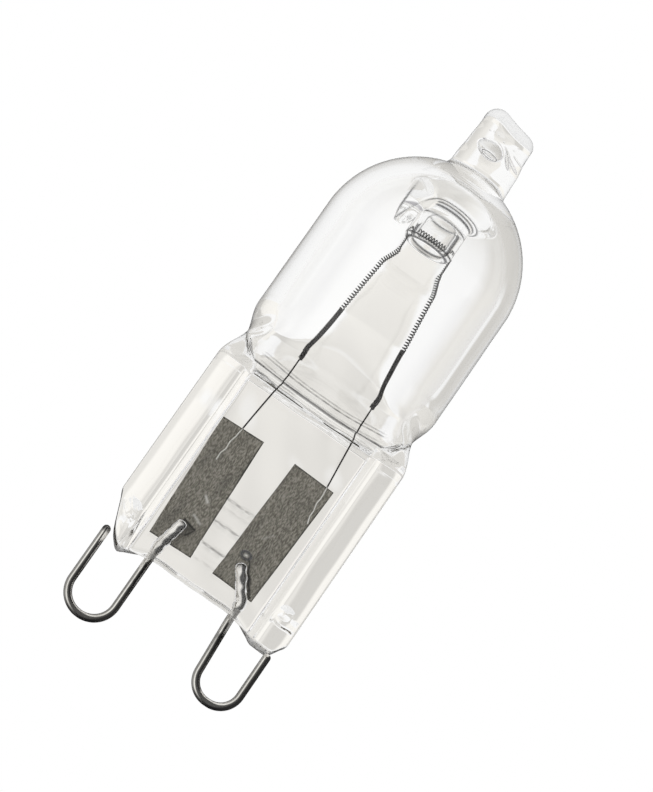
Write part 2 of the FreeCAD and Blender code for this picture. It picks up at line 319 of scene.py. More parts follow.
# Filament: the coil's path with its corner radii, shares of a leg where its winding changes, and tails
COIL_PATH = (
    (-2.44, 16.3),
    (-1.77, 23.9),
    (-1.36, 24.85),
    (-1.36, 26.4),
    (-1.0, 26.83),
    (1.3, 26.83),
    (1.62, 26.4),
    (1.65, 24.85),
    (2.0, 23.9),
    (2.8, 16.3),
)
COIL_ROUNDS = (0.4, 0.4, 0.2, 0.25, 0.25, 0.2, 0.4, 0.4)
CLOSE_SHARE = 0.311
OPEN_SHARE = 0.62
TWIST_SHARE = 0.735
COMB_SHARE = 0.9
DRAWN_IN = 0.4
POINTS_PER_TURN = 12
TURN_SOCKETS = ("Close Turns", "Open Turns", "Twist Turns", "Comb Turns")
TAIL_PLANE = -0.05
TAIL_RADIUS = 0.05
TAIL_SIDES = 10
TAIL_ROUND = 0.1
# Heights below which the tails are painted lighter, a painted highlight where they lie over the foils
TAIL_HIGHLIGHT_ENDS = (10.2, 10.5)
TAIL_PATHS = (
    (
        (-2.44, 16.7),
        (-2.46, 15.0),
        (-2.87, 10.4),
        (-2.94, 9.7),
        (-3.05, 9.3),
        (-3.0, 8.8),
        (-3.13, 8.4),
        (-3.1, 7.9),
    ),
    (
        (2.8, 16.7),
        (2.84, 15.0),
        (3.29, 10.4),
        (3.36, 9.6),
        (3.31, 9.2),
        (3.43, 8.7),
        (3.42, 8.3),
        (3.56, 7.85),
    ),
)

# Rays, floor, lamp and camera
LIGHT_BOUNCES = 32
TRAPPED_DEPTH = 10.5
TRAPPED_GREY = 0.74
FLOOR_GAP = 0.05 * MM
FLOOR_REACH = 3.0
LAMP_PLACE = (-0.25, -0.2, 0.45)
LAMP_SIZE = 0.35
CAMERA_TARGET = (0.14, 0.0, 15.05)
CAMERA_CLIP = (0.01, 20.0)

# Cards that the quartz shows: from, to and softness, in degrees from straight back or above level
RIGHT_CARD = (10.0, 44.0, 3.0)
DOME_CARD = ((-12.0, 60.0, 14.0), (22.0, 55.0, 8.0))
SLOT_CARD_RISE = (11.9, 18.0, 0.6)
SLOT_CARD_SOFTNESS = 0.4
PINCH_CARD = ((-60.0, 60.0, 4.0), (2.0, 11.8, 0.3))
EDGE_CARD = ((80.0, 101.0, 4.0), (-10.0, 50.0, 4.0))
EDGE_GREY = (0.4, 0.39, 0.41, 1)
# Changes of grey, or of half width, over a card: from, to, and the value at each
RIGHT_GREYS = (12.0, 32.0, 0.84, 0.70)
DOME_GREYS = (-9.0, 2.0, 0.86, 0.71)
SLOT_GREYS = (12.6, 14.6, 0.80, 0.90)
SLOT_CARD_TAPER = (12.0, 15.0, 3.9, 1.6)
# Greys across the pinch's card from left to right: where each starts, where it is full, and its level
PINCH_GREYS = (
    (-17.0, -12.0, 0.68),
    (-3.0, -1.05, 0.84),
    (-1.05, 1.05, 0.77),
    (1.05, 3.0, 0.98),
    (12.0, 17.0, 0.82),
)
# Windows that metal mirrors: from, to and softness, in degrees
MAIN_WINDOW = (-158.0, -120.0, 16.0)
SIDE_WINDOW = (-122.0, -40.0, 12.0)
SIDE_WINDOW_LEVEL = 0.3
# Slow changes of what metal mirrors: from, to, and the level at each
FRONT_RIGHT_GLOW = (150.0, 180.0, 0.02, 0.08)
FRONT_LEFT_GLOW = (-180.0, -165.0, 0.08, 0.0)
FLOOR_DARKNESS = (-60.0, -25.0, 0.1, 1.0)
CEILING_GLOW = (50.0, 75.0, 0.0, 0.15)

# Fineness of the meshes
AROUND_COUNT = 220
FACE_SHARE = 0.6
CLOSE_ROWS = (-0.12, -0.06, 0.0, 0.06, 0.12)
NEARLY_STRAIGHT = 1.57
MERGE_GAP = 2e-7
SLIVER = 1e-8


def step(low, high, value):
    """A smooth step from 0 at low to 1 at high."""
    share = np.clip((np.asarray(value, float) - low) / (high - low), 0, 1)
    return share * share * (3 - 2 * share)


def mix(start, end, share):
    """A smooth change from start to end, level at both."""
    return start + (end - start) * step(0, 1, share)


def soft_min(first, second, width):
    """The smaller of two values, with the corner between them rounded over the width."""
    share = np.clip(0.5 + 0.5 * (second - first) / width, 0, 1)
    return second + (first - second) * share - width * share * (1 - share)


def ripple(x, y, z, size, seed):
    """A few slow waves over space, mostly between -1 and 1, for the unevenness of worked pieces."""
    draws = np.random.default_rng(seed)
    total = np.zeros_like(x)
    for _ in range(6):
        way = draws.normal(size=3)
        way *= 2 * math.pi / (size * draws.uniform(0.7, 1.5) * np.linalg.norm(way))
        total = total + np.sin(way[0] * x + way[1] * y + way[2] * z + draws.uniform(0, 6.28))
    return total / 3


def between(low, high, fade, value):
    """1 between two limits, fading to 0 over a width outside them."""
    return step(low - fade, low, value) * (1 - step(high, high + fade, value))


def line_at(value, middle, width):
    """1 on a line and 0 away from it."""
    return np.exp(-(((value - middle) / width) ** 2))


def steps_to(end, count, start=0.0):
    """Even steps from a start to an end, without the start itself."""
    return np.linspace(start, end, count)[1:]


def turned(x, z, angle):
    """X and Z turned by an angle about the origin, from Z towards X."""
    return x * math.cos(angle) + z * math.sin(angle), z * math.cos(angle) - x * math.sin(angle)


def run_along(line):
    """The length of a line up to each of its points."""
    return np.concatenate([[0], np.cumsum(np.linalg.norm(np.diff(line, axis=0), axis=1))])


def reach_of(across, along, squareness):
    """How far a rounded square stands from its centre in a direction, where a circle stands at 1."""
    return (np.abs(across) ** squareness + np.abs(along) ** squareness) ** (-1 / squareness)


def around_angles(count):
    """Angles round the quartz, closer on the long faces of the pinch, the same front and back."""
    fine = np.linspace(0, math.pi, 4000)
    across, along = np.cos(fine), np.abs(np.sin(fine))
    reach = reach_of(across, along, PINCH_SQUARENESS)
    run = run_along(np.stack([PINCH_HALF * reach * across, RIB_HALF * reach * along], axis=1))
    weight = FACE_SHARE * run / run[-1] + (1 - FACE_SHARE) * fine / math.pi
    half = np.interp(np.linspace(0, 1, count // 2 + 1), weight, fine)
    return np.concatenate([half, 2 * math.pi - half[-2:0:-1]])


AROUND = around_angles(AROUND_COUNT)


def ring(half_width, half_depth, squareness):
    """Points round a level outline: an ellipse at squareness 2, and a rounded rectangle above that."""
    across, along = np.cos(AROUND), np.sin(AROUND)
    reach = reach_of(across, along, squareness)
    return half_width * reach * across, half_depth * reach * along


ROUND_X, ROUND_Y = ring(1.0, 1.0, 2.0)


def row(x, y, z):
    """One row of points, where any of the three may be a single number."""
    return np.stack(np.broadcast_arrays(x, y, z), axis=1).astype(float)


def round_row(radius, z):
    """One row about the bulb's axis, where radius and height may differ from point to point."""
    return row(radius * ROUND_X, radius * ROUND_Y, z)


def curve_rows(count, *controls):
    """Rows on a smooth curve from the first control row to the last, without the first itself."""
    last = len(controls) - 1
    rows = []
    for u in steps_to(1, count):
        weights = [math.comb(last, i) * (1 - u) ** (last - i) * u ** i for i in range(last + 1)]
        rows.append(sum(weight * control for weight, control in zip(weights, controls)))
    return rows


def skin(rows, inward=False):
    """Quads between closed rows of points, facing out, or in for the wall of a hollow."""
    rows = np.stack(rows)
    count, around = rows.shape[:2]
    low = np.arange(count - 1)[:, None] * around + np.arange(around)[None, :]
    side = np.arange(count - 1)[:, None] * around + np.roll(np.arange(around), -1)[None, :]
    faces = np.stack([low, side, side + around, low + around], axis=-1).reshape(-1, 4)
    return rows.reshape(-1, 3), faces[:, ::-1] if inward else faces


def joined(parts):
    """One list of points and one of faces from several."""
    points, faces, first = [], [], 0
    for part_points, part_faces in parts:
        points.append(np.asarray(part_points))
        faces += [[first + int(i) for i in face] for face in part_faces]
        first += len(part_points)
    return np.concatenate(points), faces


def finished(name, parts, material):
    """A smooth mesh object at the origin from parts in millimetres, with doubles merged."""
    points, faces = joined(parts)
    mesh = bpy.data.meshes.new(name)
    mesh.from_pydata((points * MM).tolist(), [], faces)
    work = bmesh.new()
    work.from_mesh(mesh)
    bmesh.ops.remove_doubles(work, verts=work.verts, dist=MERGE_GAP)
    bmesh.ops.dissolve_degenerate(work, edges=work.edges, dist=SLIVER)
    work.to_mesh(mesh)
    work.free()
    mesh.polygons.foreach_set("use_smooth", [True] * len(mesh.polygons))
    mesh.materials.append(material)
    piece = bpy.data.objects.new(name, mesh)
    bpy.context.collection.objects.link(piece)
    return piece


def hand_over(piece, node):
    """Lets a piece ride on the body in place of its CAD node."""
    if not piece.data.polygons:
        raise RuntimeError(piece.name + " has no faces")
    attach(piece, "root")
    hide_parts(node)


def tube(path, radii, sides):
    """A round tube along a path, with closed ends."""
    ahead = np.gradient(path, axis=0)
    ahead /= np.linalg.norm(ahead, axis=1)[:, None]
    turn = np.linspace(0, 2 * math.pi, sides, endpoint=False)
    rows = [np.repeat(path[:1], sides, axis=0)]
    for place, way, radius in zip(path, ahead, radii):
        across = np.cross((0.0, 1.0, 0.0), way)
        across /= np.linalg.norm(across)
        front = np.cross(way, across)
        circle = np.cos(turn)[:, None] * across + np.sin(turn)[:, None] * front
        rows.append(place + radius * circle)
    rows.append(np.repeat(path[-1:], sides, axis=0))
    return skin(rows)


def rounded_ends(path, radius, steps=5):
    """A path and its radii with both ends drawn in to a half-round."""
    run = run_along(path)
    body = path[(run > radius) & (run < run[-1] - radius)]
    first = (path[1] - path[0]) / np.linalg.norm(path[1] - path[0])
    last = (path[-2] - path[-1]) / np.linalg.norm(path[-2] - path[-1])
    angles = steps_to(math.pi / 2, steps + 1)
    inset, shrunk = radius * (1 - np.cos(angles)), radius * np.sin(angles)
    head = [path[0] + first * d for d in inset]
    tail = [path[-1] + last * d for d in inset[::-1]]
    points = np.concatenate([head, body, tail])
    return points, np.concatenate([shrunk, np.full(len(body), radius), shrunk[::-1]])


def bent(points, radii, gap):
    """A line through points with an arc, or at radius 0 a kink, at each corner, as points a gap apart."""
    points = [np.array(p, float) for p in points]
    line = [points[0]]
    for before, corner, after, radius in zip(points, points[1:], points[2:], radii):
        back = (before - corner) / np.linalg.norm(before - corner)
        ahead = (after - corner) / np.linalg.norm(after - corner)
        half = math.acos(np.clip(back @ ahead, -1, 1)) / 2
        if radius == 0 or half > NEARLY_STRAIGHT:
            line.append(corner)
            continue
        centre = corner + (back + ahead) / np.linalg.norm(back + ahead) * radius / math.sin(half)
        cut = radius / math.tan(half)
        line += arc(centre, corner + back * cut, corner + ahead * cut)
    line = np.array(line + [points[-1]])
    run = run_along(line)
    stops = np.linspace(0, run[-1], max(4, int(run[-1] / gap) + 1))
    return np.stack([np.interp(stops, run, line[:, i]) for i in range(line.shape[1])], axis=1)


def arc(centre, start, end, steps=24):
    """Points round a centre from start to end by the shorter way."""
    first = math.atan2(start[1] - centre[1], start[0] - centre[0])
    turn = math.atan2(end[1] - centre[1], end[0] - centre[0]) - first
    turn = (turn + math.pi) % (2 * math.pi) - math.pi
    radius = np.linalg.norm(start - centre)
    angles = first + turn * np.linspace(0, 1, steps)
    return [centre + radius * np.array([math.cos(a), math.sin(a)]) for a in angles]


def in_plane(line, y):
    """Points of an X-Z line set at one depth."""
    return np.stack([line[:, 0], np.full(len(line), y), line[:, 1]], axis=1)


def feet(x):
    """Height of the pinch's underside over X, with its corners softened."""
    offsets = np.linspace(-FEET_SOFTNESS, FEET_SOFTNESS, 7)
    level = np.mean([np.interp(x + d, FEET_X, FEET_Z) for d in offsets], axis=0)
    return level + FEET_WAVE + FEET_WAVE * ripple(x, 0 * x, 0 * x, 1.4, SEED + 9)


def slanted(x, y):
    """Rise of the pinch's underside from front to back, steeper and lower under the web."""
    web = 1 - step(*WEB_ENDS, np.abs(x))
    return (FOOT_SLANT + (WEB_SLANT - FOOT_SLANT) * web) * np.maximum(y + WEB_HALF, 0) - WEB_DROP * web


def pressed(x, y, z):
    """Flattens the front and back of the pinch to the web that the jaws leave between the ribs."""
    inner = RIB_INNER + RIB_WAVE * ripple(0 * x, y, z, 0.9, SEED + 8)
    rib = step(inner, inner + RIB_FLANK, np.abs(x))
    limit = WEB_HALF + (RIB_HALF + RIB_CLEARANCE - WEB_HALF) * rib
    limit = limit + np.maximum(z - WEB_TOP, 0) * math.tan(NECK_SLOPE)
    return np.sign(y) * soft_min(np.abs(y), limit, WEB_CORNER)


def jaw_marks(x, y, z):
    """Fine ridges across the front of the web, between the foils, and a round boss on each rib."""
    dashes = 0.6 + 0.4 * np.sin(x * 9.0 + z * 3.0)
    span = between(*RIDGE_SPAN, RIDGE_FADE, x) * dashes
    ridges = np.zeros_like(x)
    for height, depth in zip(RIDGE_HEIGHTS, RIDGE_DEPTHS):
        ridges = ridges + RIDGE_RISE * depth * line_at(z, height, RIDGE_WIDTH) * span
    boss = BOSS_RISE * (1 - step(*BOSS_EDGE, np.hypot(np.abs(x) - BOSS_X, z - BOSS_Z)))
    return np.where(y < 0, -(ridges + boss), boss)


def foot_rows(x, y):
    """Rows of the pinch's underside, from its middle line out to its rounded edge."""
    bottom = [(FOOT_ROUND, 0.0, 0.0), (FOOT_ROUND, 0.0, 0.5)]
    for a in np.linspace(0, math.pi / 2, 6):
        bottom.append((FOOT_ROUND * (1 - math.sin(a)), FOOT_ROUND * (1 - math.cos(a)), 1.0))
    rows = []
    for inset, lift, share in bottom:
        inner_x = x * (1 - FOOT_NARROWING * inset / PINCH_HALF)
        floor = feet(inner_x)
        at = np.sign(y) * np.maximum(np.abs(pressed(x, y, floor)) - inset, 0) * share
        rows.append(row(inner_x, at, floor + lift * FOOT_LIFT + slanted(inner_x, at)))
    return rows


def pinch_rows(unevenness):
    """Rows of the pinch up to the foot of the neck, closer together at the ridges and the bosses."""
    x, y = ring(PINCH_HALF, RIB_HALF, PINCH_SQUARENESS)
    rows = foot_rows(x, y)
    foot = feet(x) + FOOT_ROUND * FOOT_LIFT + slanted(x, pressed(x, y, feet(x)))
    web_foot = feet(np.zeros(1))[0] + FOOT_ROUND * FOOT_LIFT - WEB_DROP
    shares = list(steps_to(1, 36))
    for height in RIDGE_HEIGHTS + (BOSS_Z, WEB_TOP - WEB_EDGE_DROP):
        shares += [(height + d - web_foot) / (PINCH_TOP - web_foot) for d in CLOSE_ROWS]
    for share in sorted(s for s in shares if 0.005 < s <= 1):
        z = foot + (PINCH_TOP - foot) * share
        wave = unevenness * (ripple(x, y, z, PINCH_WAVE_LENGTH, SEED) - 1) * np.sign(y)
        depth = pressed(x, y, z) + wave * step(0, 0.1, share) + jaw_marks(x, y, z)
        rows.append(row(x, depth, z))
    return rows


def neck_rows(unevenness):
    """Rows of the neck's outside, closest together where it leaves the pinch."""
    low = steps_to(PINCH_TOP + LOW_NECK, 44, PINCH_TOP)
    high = steps_to(NECK_TOP, 24, PINCH_TOP + LOW_NECK)
    rows = []
    for z in np.concatenate([low, high]):
        x, y = neck_ring(z, RIB_HALF)
        share = (z - PINCH_TOP) / (NECK_TOP - PINCH_TOP)
        dent = unevenness * (ripple(x, y, z + 0 * x, PINCH_WAVE_LENGTH, SEED) - 1)
        wave = 1 + dent * (1 - 0.6 * share) / BULB_RADIUS
        rows.append(row(x * wave, pressed(x, y, z) * wave, z))
    return rows


def bulb_rows(unevenness):
    """Rows of the barrel, and of the dome up to the foot of the tip."""
    rows = []
    x, y = BULB_RADIUS * ROUND_X, BULB_RADIUS * ROUND_Y
    for z in steps_to(DOME_CENTRE, 11, NECK_TOP):
        dent = 0.4 * unevenness * (ripple(x, y, z + 0 * x, BARREL_WAVE_LENGTH, SEED) - 1)
        wave = 1 + dent / BULB_RADIUS
        rows.append(row(x * wave, y * wave, z))
    for a in steps_to(math.acos(TIP_FILLET_RADIUS / BULB_RADIUS), 24):
        rows.append(round_row(BULB_RADIUS * math.cos(a), DOME_CENTRE + BULB_RADIUS * math.sin(a)))
    return rows


def tip_rows(start, unevenness):
    """Rows of the tip: the fillet at its foot, its uneven sides, its rounded edge and its melted end."""
    tip_x, tip_y = ring(1.0, TIP_HALF_DEPTH, TIP_SQUARENESS)
    foot_x = TIP_CENTRE + TIP_FOOT_HALF * tip_x
    corner = row(foot_x, tip_y, DOME_CENTRE + BULB_RADIUS - TIP_FILLET_DROP)
    rows = curve_rows(11, start, corner, row(foot_x, tip_y, TIP_FILLET_TOP))
    for share in steps_to(1, 15):
        x = TIP_CENTRE + mix(TIP_FOOT_HALF, TIP_HEAD_HALF, share) * tip_x
        z = TIP_FILLET_TOP + (lid(x, tip_y) - TIP_ROUND - TIP_FILLET_TOP) * share
        dent = unevenness * (ripple(x, tip_y, z, TIP_WAVE_LENGTH, SEED + 1) - 1)
        wave = 1 + dent * step(0, 0.4, share)
        rows.append(row(TIP_CENTRE + (x - TIP_CENTRE) * wave, tip_y * wave, z))
    edge = rows[-1]
    for a in steps_to(math.pi / 2, 8):
        inset = 1 - TIP_ROUND * (1 - math.cos(a)) / TIP_HALF_DEPTH
        x, y = TIP_CENTRE + (edge[:, 0] - TIP_CENTRE) * inset, edge[:, 1] * inset
        rows.append(row(x, y, lid(x, y) - TIP_ROUND * (1 - math.sin(a))))
    rim = rows[-1]
    for share in (0.8, 0.55, 0.3, 0.0):
        x, y = TIP_CENTRE + (rim[:, 0] - TIP_CENTRE) * share, rim[:, 1] * share
        rows.append(row(x, y, lid(x, y)))
    return rows


def outer_wall(unevenness):
    """The outside of the quartz from the feet to the tip."""
    rows = pinch_rows(unevenness) + neck_rows(unevenness) + bulb_rows(unevenness)
    return skin(rows + tip_rows(rows[-1], unevenness))


def lid(x, y):
    """Height of the tip's melted end: high at the left, sloping to the right, domed front to back."""
    offsets = np.linspace(-LID_SOFTNESS, LID_SOFTNESS, 7)
    drop = np.mean([np.interp(x + d, LID_X, LID_DROP) for d in offsets], axis=0)
    return TIP_TOP - LID_CLEARANCE - drop - LID_DOME * (y / TIP_HALF_DEPTH) ** 2


def neck_depth(z):
    """The neck's outer half depth on the axis: a slope up from the web that bends into the barrel."""
    if z < NECK_BEND:
        return WEB_HALF + (z - WEB_TOP) * math.tan(NECK_SLOPE)
    return BULB_RADIUS - NECK_ROUND + math.sqrt(NECK_ROUND ** 2 - (NECK_TOP - z) ** 2)


def neck_ring(z, least_depth):
    """The neck's outer outline at a height: flat above the pinch, waisted, and round under the barrel."""
    waist = np.clip((z - PINCH_TOP) / (WAIST_TOP - PINCH_TOP), 0, 1)
    half_width = mix(PINCH_HALF, BULB_RADIUS, waist) - WAIST_CUT * math.sin(math.pi * waist) ** 2
    squareness = 2 + (PINCH_SQUARENESS - 2) * min(1.0, (NECK_TOP - z) / (NECK_TOP - PINCH_TOP)) ** 3
    return ring(half_width, max(least_depth, neck_depth(z)), squareness)


def wall_at(z):
    """Thickness of the quartz up the bulb: drawn thin round the neck."""
    return NECK_WALL + (WALL - NECK_WALL) * step(*NECK_WALL_ENDS, z)


def neck_wall_rows(unevenness):
    """Rows of the neck's inside, one wall thickness within its outside, drawn in to the trough."""
    foot = WEB_TOP + TROUGH_FOOT
    straight = foot + (NECK_BEND - WEB_TOP - TROUGH_FOOT) * np.linspace(0, 1, 36) ** 1.4
    bend = NECK_TOP - NECK_ROUND * np.sin(steps_to(0, 15, NECK_SLOPE))
    heights = np.concatenate([straight, bend])
    outside = np.stack([row(*neck_ring(z, 0.5), z) for z in heights])
    along = np.roll(outside, -1, axis=1) - np.roll(outside, 1, axis=1)
    up = np.gradient(outside, axis=0)
    up[-1] = (0, 0, 1)
    normal = np.cross(along, up)
    normal /= np.linalg.norm(normal, axis=2)[:, :, None]
    inside = outside - wall_at(heights)[:, None, None] * normal
    front = len(AROUND) // 4
    rise = (inside[:, front, 2] - heights)[:, None]
    z = heights[:, None] + rise * (0.9 + 0.1 * np.sin(AROUND) ** 2)
    share = step(WEB_TOP, WEB_TOP + TROUGH_HEIGHT, heights)[:, None]
    limit = SLOT_HALF + (BULB_RADIUS + 1.0 - SLOT_HALF) * share
    x, y = inside[:, :, 0], inside[:, :, 1]
    x = np.sign(x) * soft_min(np.abs(x), limit, TROUGH_CORNER)
    wave = 1 + unevenness * ripple(x, y, z, TROUGH_WAVE_LENGTH, SEED + 3) / BULB_RADIUS * (1 - share)
    return list(np.stack([x * wave, y * wave, z], axis=2))


def slot_rows(rim):
    """Rows of the narrow slot under the gas space, from its sagging floor up to its rim."""
    floor = SLOT_FLOOR - SLOT_SAG * (1 - (rim[:, 0] / SLOT_HALF) ** 2)
    floor = floor + SLOT_WAVE * ripple(rim[:, 0], 0 * rim[:, 0], 0 * rim[:, 0], 2.0, SEED + 2)
    rows = []
    for share in SLOT_SHARES:
        lift = 1 - math.sqrt(1 - share ** 2)
        x = rim[:, 0] * (1 - SLOT_NARROWING + SLOT_NARROWING * share)
        rows.append(row(x, rim[:, 1] * share, floor + (rim[:, 2] - floor) * lift))
    return rows


def fin_share(leftward):
    """How much of the fin stands at a point round the stub: all of it straight to the left."""
    return np.maximum(leftward, 0) ** FIN_SHARPNESS


def flare_rows(start, top):
    """Rows from the dome's inside down the flare, with the fin at its left, to the wall of the stub."""
    fin = fin_share(-ROUND_X)
    away = FLARE_RADIUS - FLARE_START * math.sin(top)
    leave = round_row(away, start[:, 2] + FLARE_START * math.cos(top))
    bend_height = FLARE_FLOOR + FLARE_BEND_RISE - FIN_BEND_DROP * fin
    bend = round_row(FLARE_BEND_RADIUS + FIN_BEND_REACH * fin, bend_height)
    edge = round_row(STUB_RADIUS + FLARE_FILLET + FIN_REACH * fin, FLARE_FLOOR - FIN_DROP * fin)
    corner_height = FLARE_FLOOR - (FIN_DROP + FIN_CORNER_DROP) * fin
    corner = round_row(STUB_RADIUS + FIN_CORNER_REACH * fin, corner_height)
    foot = round_row(STUB_RADIUS, FLARE_FLOOR - FLARE_FILLET - FIN_FOOT_DROP * fin)
    return curve_rows(24, start, leave, bend, edge) + curve_rows(16, edge, corner, foot)


def stub_rows(foot):
    """Rows down the stub's wall, round its rim and up its bore to the bore's rounded end."""
    x, y, height = foot.T
    rim = STUB_END + STUB_RIM
    rows = [row(x, y, height + (rim - height) * share) for share in steps_to(1, 22)]
    middle, half = (STUB_RADIUS + STUB_BORE) / 2, (STUB_RADIUS - STUB_BORE) / 2
    for a in steps_to(math.pi, 25):
        rows.append(round_row(middle + half * math.cos(a), rim - STUB_RIM * math.sin(a)))
    for z in steps_to(STUB_BORE_TOP - STUB_BORE_END, 8, rim):
        rows.append(round_row(STUB_BORE, z))
    for a in steps_to(math.pi / 2, 8):
        end = STUB_BORE_TOP - STUB_BORE_END * (1 - math.sin(a))
        rows.append(round_row(STUB_BORE * math.cos(a), end))
    return rows


def gas_wall(unevenness):
    """The wall of the gas space: slot, neck, barrel, dome, and the hollow stub that hangs in it."""
    neck = neck_wall_rows(unevenness)
    rows = slot_rows(neck[0]) + neck
    inner = BULB_RADIUS - WALL
    for z in steps_to(DOME_CENTRE, 9, NECK_TOP):
        rows.append(round_row(inner, z))
    top = math.acos(FLARE_RADIUS / inner)
    for a in steps_to(top, 18):
        rows.append(round_row(inner * math.cos(a), DOME_CENTRE + inner * math.sin(a)))
    rows += flare_rows(rows[-1], top)
    rows += stub_rows(rows[-1])
    return skin(rows, inward=True)


def hollow(centre, half, tilt, sides=48):
    """A closed hollow in the quartz: a ball stretched along the axes and tilted in the X-Z plane."""
    turn = np.linspace(0, 2 * math.pi, sides, endpoint=False)
    rows = []
    for a in np.linspace(-math.pi / 2, math.pi / 2, 21):
        x, y = half[0] * np.cos(turn) * math.cos(a), half[1] * np.sin(turn) * math.cos(a)
        x, z = turned(x, np.full(sides, half[2] * math.sin(a)), tilt)
        rows.append(row(centre[0] + x, centre[1] + y, centre[2] + z))
    return skin(rows, inward=True)


def tip_hollows():
    """The bubble left of the exhaust bore, the folds beside it and a few small seeds above it."""
    parts = [hollow(place, half, tilt, 56) for place, half, tilt, _, _ in TIP_HOLLOWS]
    return parts + [hollow(place, TIP_SEED_HALF, TIP_SEED_TILT, 12) for place in TIP_SEEDS]


def sealed_wire(line, radius):
    """A wire in the plane of the loops, hammered wide and crinkled where it lies inside the pinch."""
    path, radii = rounded_ends(in_plane(line, PIN_PLANE), radius)
    points, faces = tube(path, radii, PIN_SIDES)
    middle = np.repeat(np.concatenate([path[:1], path, path[-1:]]), PIN_SIDES, axis=0)
    inside = step(*CRINKLE_ENDS, middle[:, 2])
    wave = ripple(points[:, 0] * 1.3, points[:, 1], points[:, 2], 0.5, SEED + 4)
    wide = 1 + inside * (CRINKLE_WIDENING + CRINKLE_WAVE * wave)
    flat = 1 - CRINKLE_FLATTENING * inside
    return middle + (points - middle) * np.stack([wide, flat, wide], axis=1), faces


def sheath(line):
    """The thin gap that the quartz leaves round a loop's wire inside the pinch."""
    points, faces = sealed_wire(line[line[:, 1] > SHEATH_FOOT], PIN_RADIUS + SHEATH_GAP)
    return points, faces[:, ::-1]


def places(mesh):
    """X, Y and Z of a mesh's points, in millimetres."""
    return np.array([v.co for v in mesh.vertices]).T / MM


def write_layer(mesh, name, values):
    """Keeps one number for each point of a mesh, between 0 and 1, under a name that its material reads."""
    layer = mesh.attributes.new(name, "FLOAT", "POINT")
    layer.data.foreach_set("value", np.clip(values, 0, 1))


def weld_shade(x, z, name):
    """How dark the front of a foil is beside its weld and round the blister: a painted shadow of the wire
    and a ring of painted shade.
    """
    weld = np.array(LOOP_WELD[name])
    way = np.array((LOOP_INNER[name], LOOP_BEND)) - weld
    way /= np.linalg.norm(way)
    right, up = x - weld[0], z - weld[1]
    down = right * way[0] + up * way[1]
    aside = up * way[0] - right * way[1] + 0.06 * ripple(x, 0 * x, z, 0.7, SEED + 13)
    aside = aside + WELD_SHADE_SLANT[name] * np.maximum(down, 0)
    blister_x = (x - BLISTER_PLACE[0]) / BLISTER_HALF[0]
    blister_z = (z - BLISTER_PLACE[2]) / BLISTER_HALF[2]
    # A ring of painted shade on the foil round the blister
    dark = between(0.6, 0.9, 0.2, np.hypot(blister_x, blister_z))
    half_fade = WELD_SHADE_FADE / 2
    for start, end, inner, outer, strength in WELD_SHADES[name]:
        span = between(start + half_fade, end - half_fade, WELD_SHADE_FADE, down)
        band = between(inner + half_fade, outer - half_fade, WELD_SHADE_FADE, aside)
        dark = np.maximum(dark, strength * span * band)
    return dark


def scratch_and_glint_shine(x, z, name):
    """How bright the scratches on a foil are, and the painted highlight in the blister's middle."""
    bright = np.zeros(len(x))
    for first, last, strength in SCRATCHES_AND_GLINTS[name]:
        run = np.subtract(last, first)
        right, up = x - first[0], z - first[1]
        share = np.clip((right * run[0] + up * run[1]) / (run @ run), 0, 1)
        gap = np.hypot(right - share * run[0], up - share * run[1])
        bright = np.maximum(bright, strength * line_at(gap, 0.0, STROKE_WIDTH))
    return bright


def shade_foil(mesh, name):
    """Writes where a foil is dark: painted shade on its right edge and its ends, and in front beside its
    weld and round the blister, with random mottling; and where scratches and a painted highlight make it
    bright.
    """
    x, _, z = places(mesh)
    front = np.array([v.normal.y for v in mesh.vertices]) < 0
    low, high = node_box("foil_" + name)
    right, up = x - (low[0] + high[0]) / 2, z - (low[2] + high[2]) / 2
    across, along = turned(right, up, -FOIL_LEAN[name])
    uneven = ripple(x * 1.4, 0 * x, z * 0.5, 1.0, SEED + 12)
    side, end = FOIL_WIDTH / 2, FOIL_LENGTH / 2
    dark = FOIL_SIDE_SHADE * step(side - FOIL_EDGE[0], side - FOIL_EDGE[1], across + 0.02 * uneven)
    end_shade = FOIL_END_SHADE * step(end - FOIL_EDGE[0], end - FOIL_EDGE[1], np.abs(along))
    dark = np.maximum(dark, end_shade) + FOIL_MOTTLING * uneven
    dark = np.maximum(dark, front * weld_shade(x, z, name))
    write_layer(mesh, "shade", dark)
    write_layer(mesh, "bright", front * scratch_and_glint_shine(x, z, name))


def shade_sealed(mesh, name):
    """Writes how dark each point of a loop is: painted shade along the right of its sealed part and,
    weaker, lower down, a painted shadow at its weld, and painted shade on top of its free end.
    """
    x, y, z = places(mesh)
    inner = LOOP_INNER[name]
    weld_x, weld_z = LOOP_WELD[name]
    middle = np.interp(z, (LOOP_KINK, LOOP_BEND, weld_z), (inner, inner, weld_x))
    side = (x - middle) / PIN_RADIUS + 0.35 * ripple(x, y, 0.6 * z, 0.5, SEED + 11)
    # A painted shadow at the top of the weld
    weld_shadow = line_at(x, weld_x, WELD_SHADOW_SIZE) * line_at(z, weld_z - WELD_SHADOW_DROP, WELD_SHADOW_SIZE)
    # Painted shade along the right of the sealed part, and weaker lower down
    sealed = np.maximum(step(*SEALED_SHADE_ENDS, z), LOWER_SHADE_SHARE * step(*LOWER_SHADE_ENDS, z))
    dark = sealed * (np.abs(x - middle) < 1.0) * np.maximum(step(*SHADED_SIDE_SPAN, side), weld_shadow)
    dark = dark + FREE_END_SHADE * step(*FREE_END_SPAN, z) * (np.abs(x - middle) > 2.0)
    write_layer(mesh, "shade", 0.95 * dark)


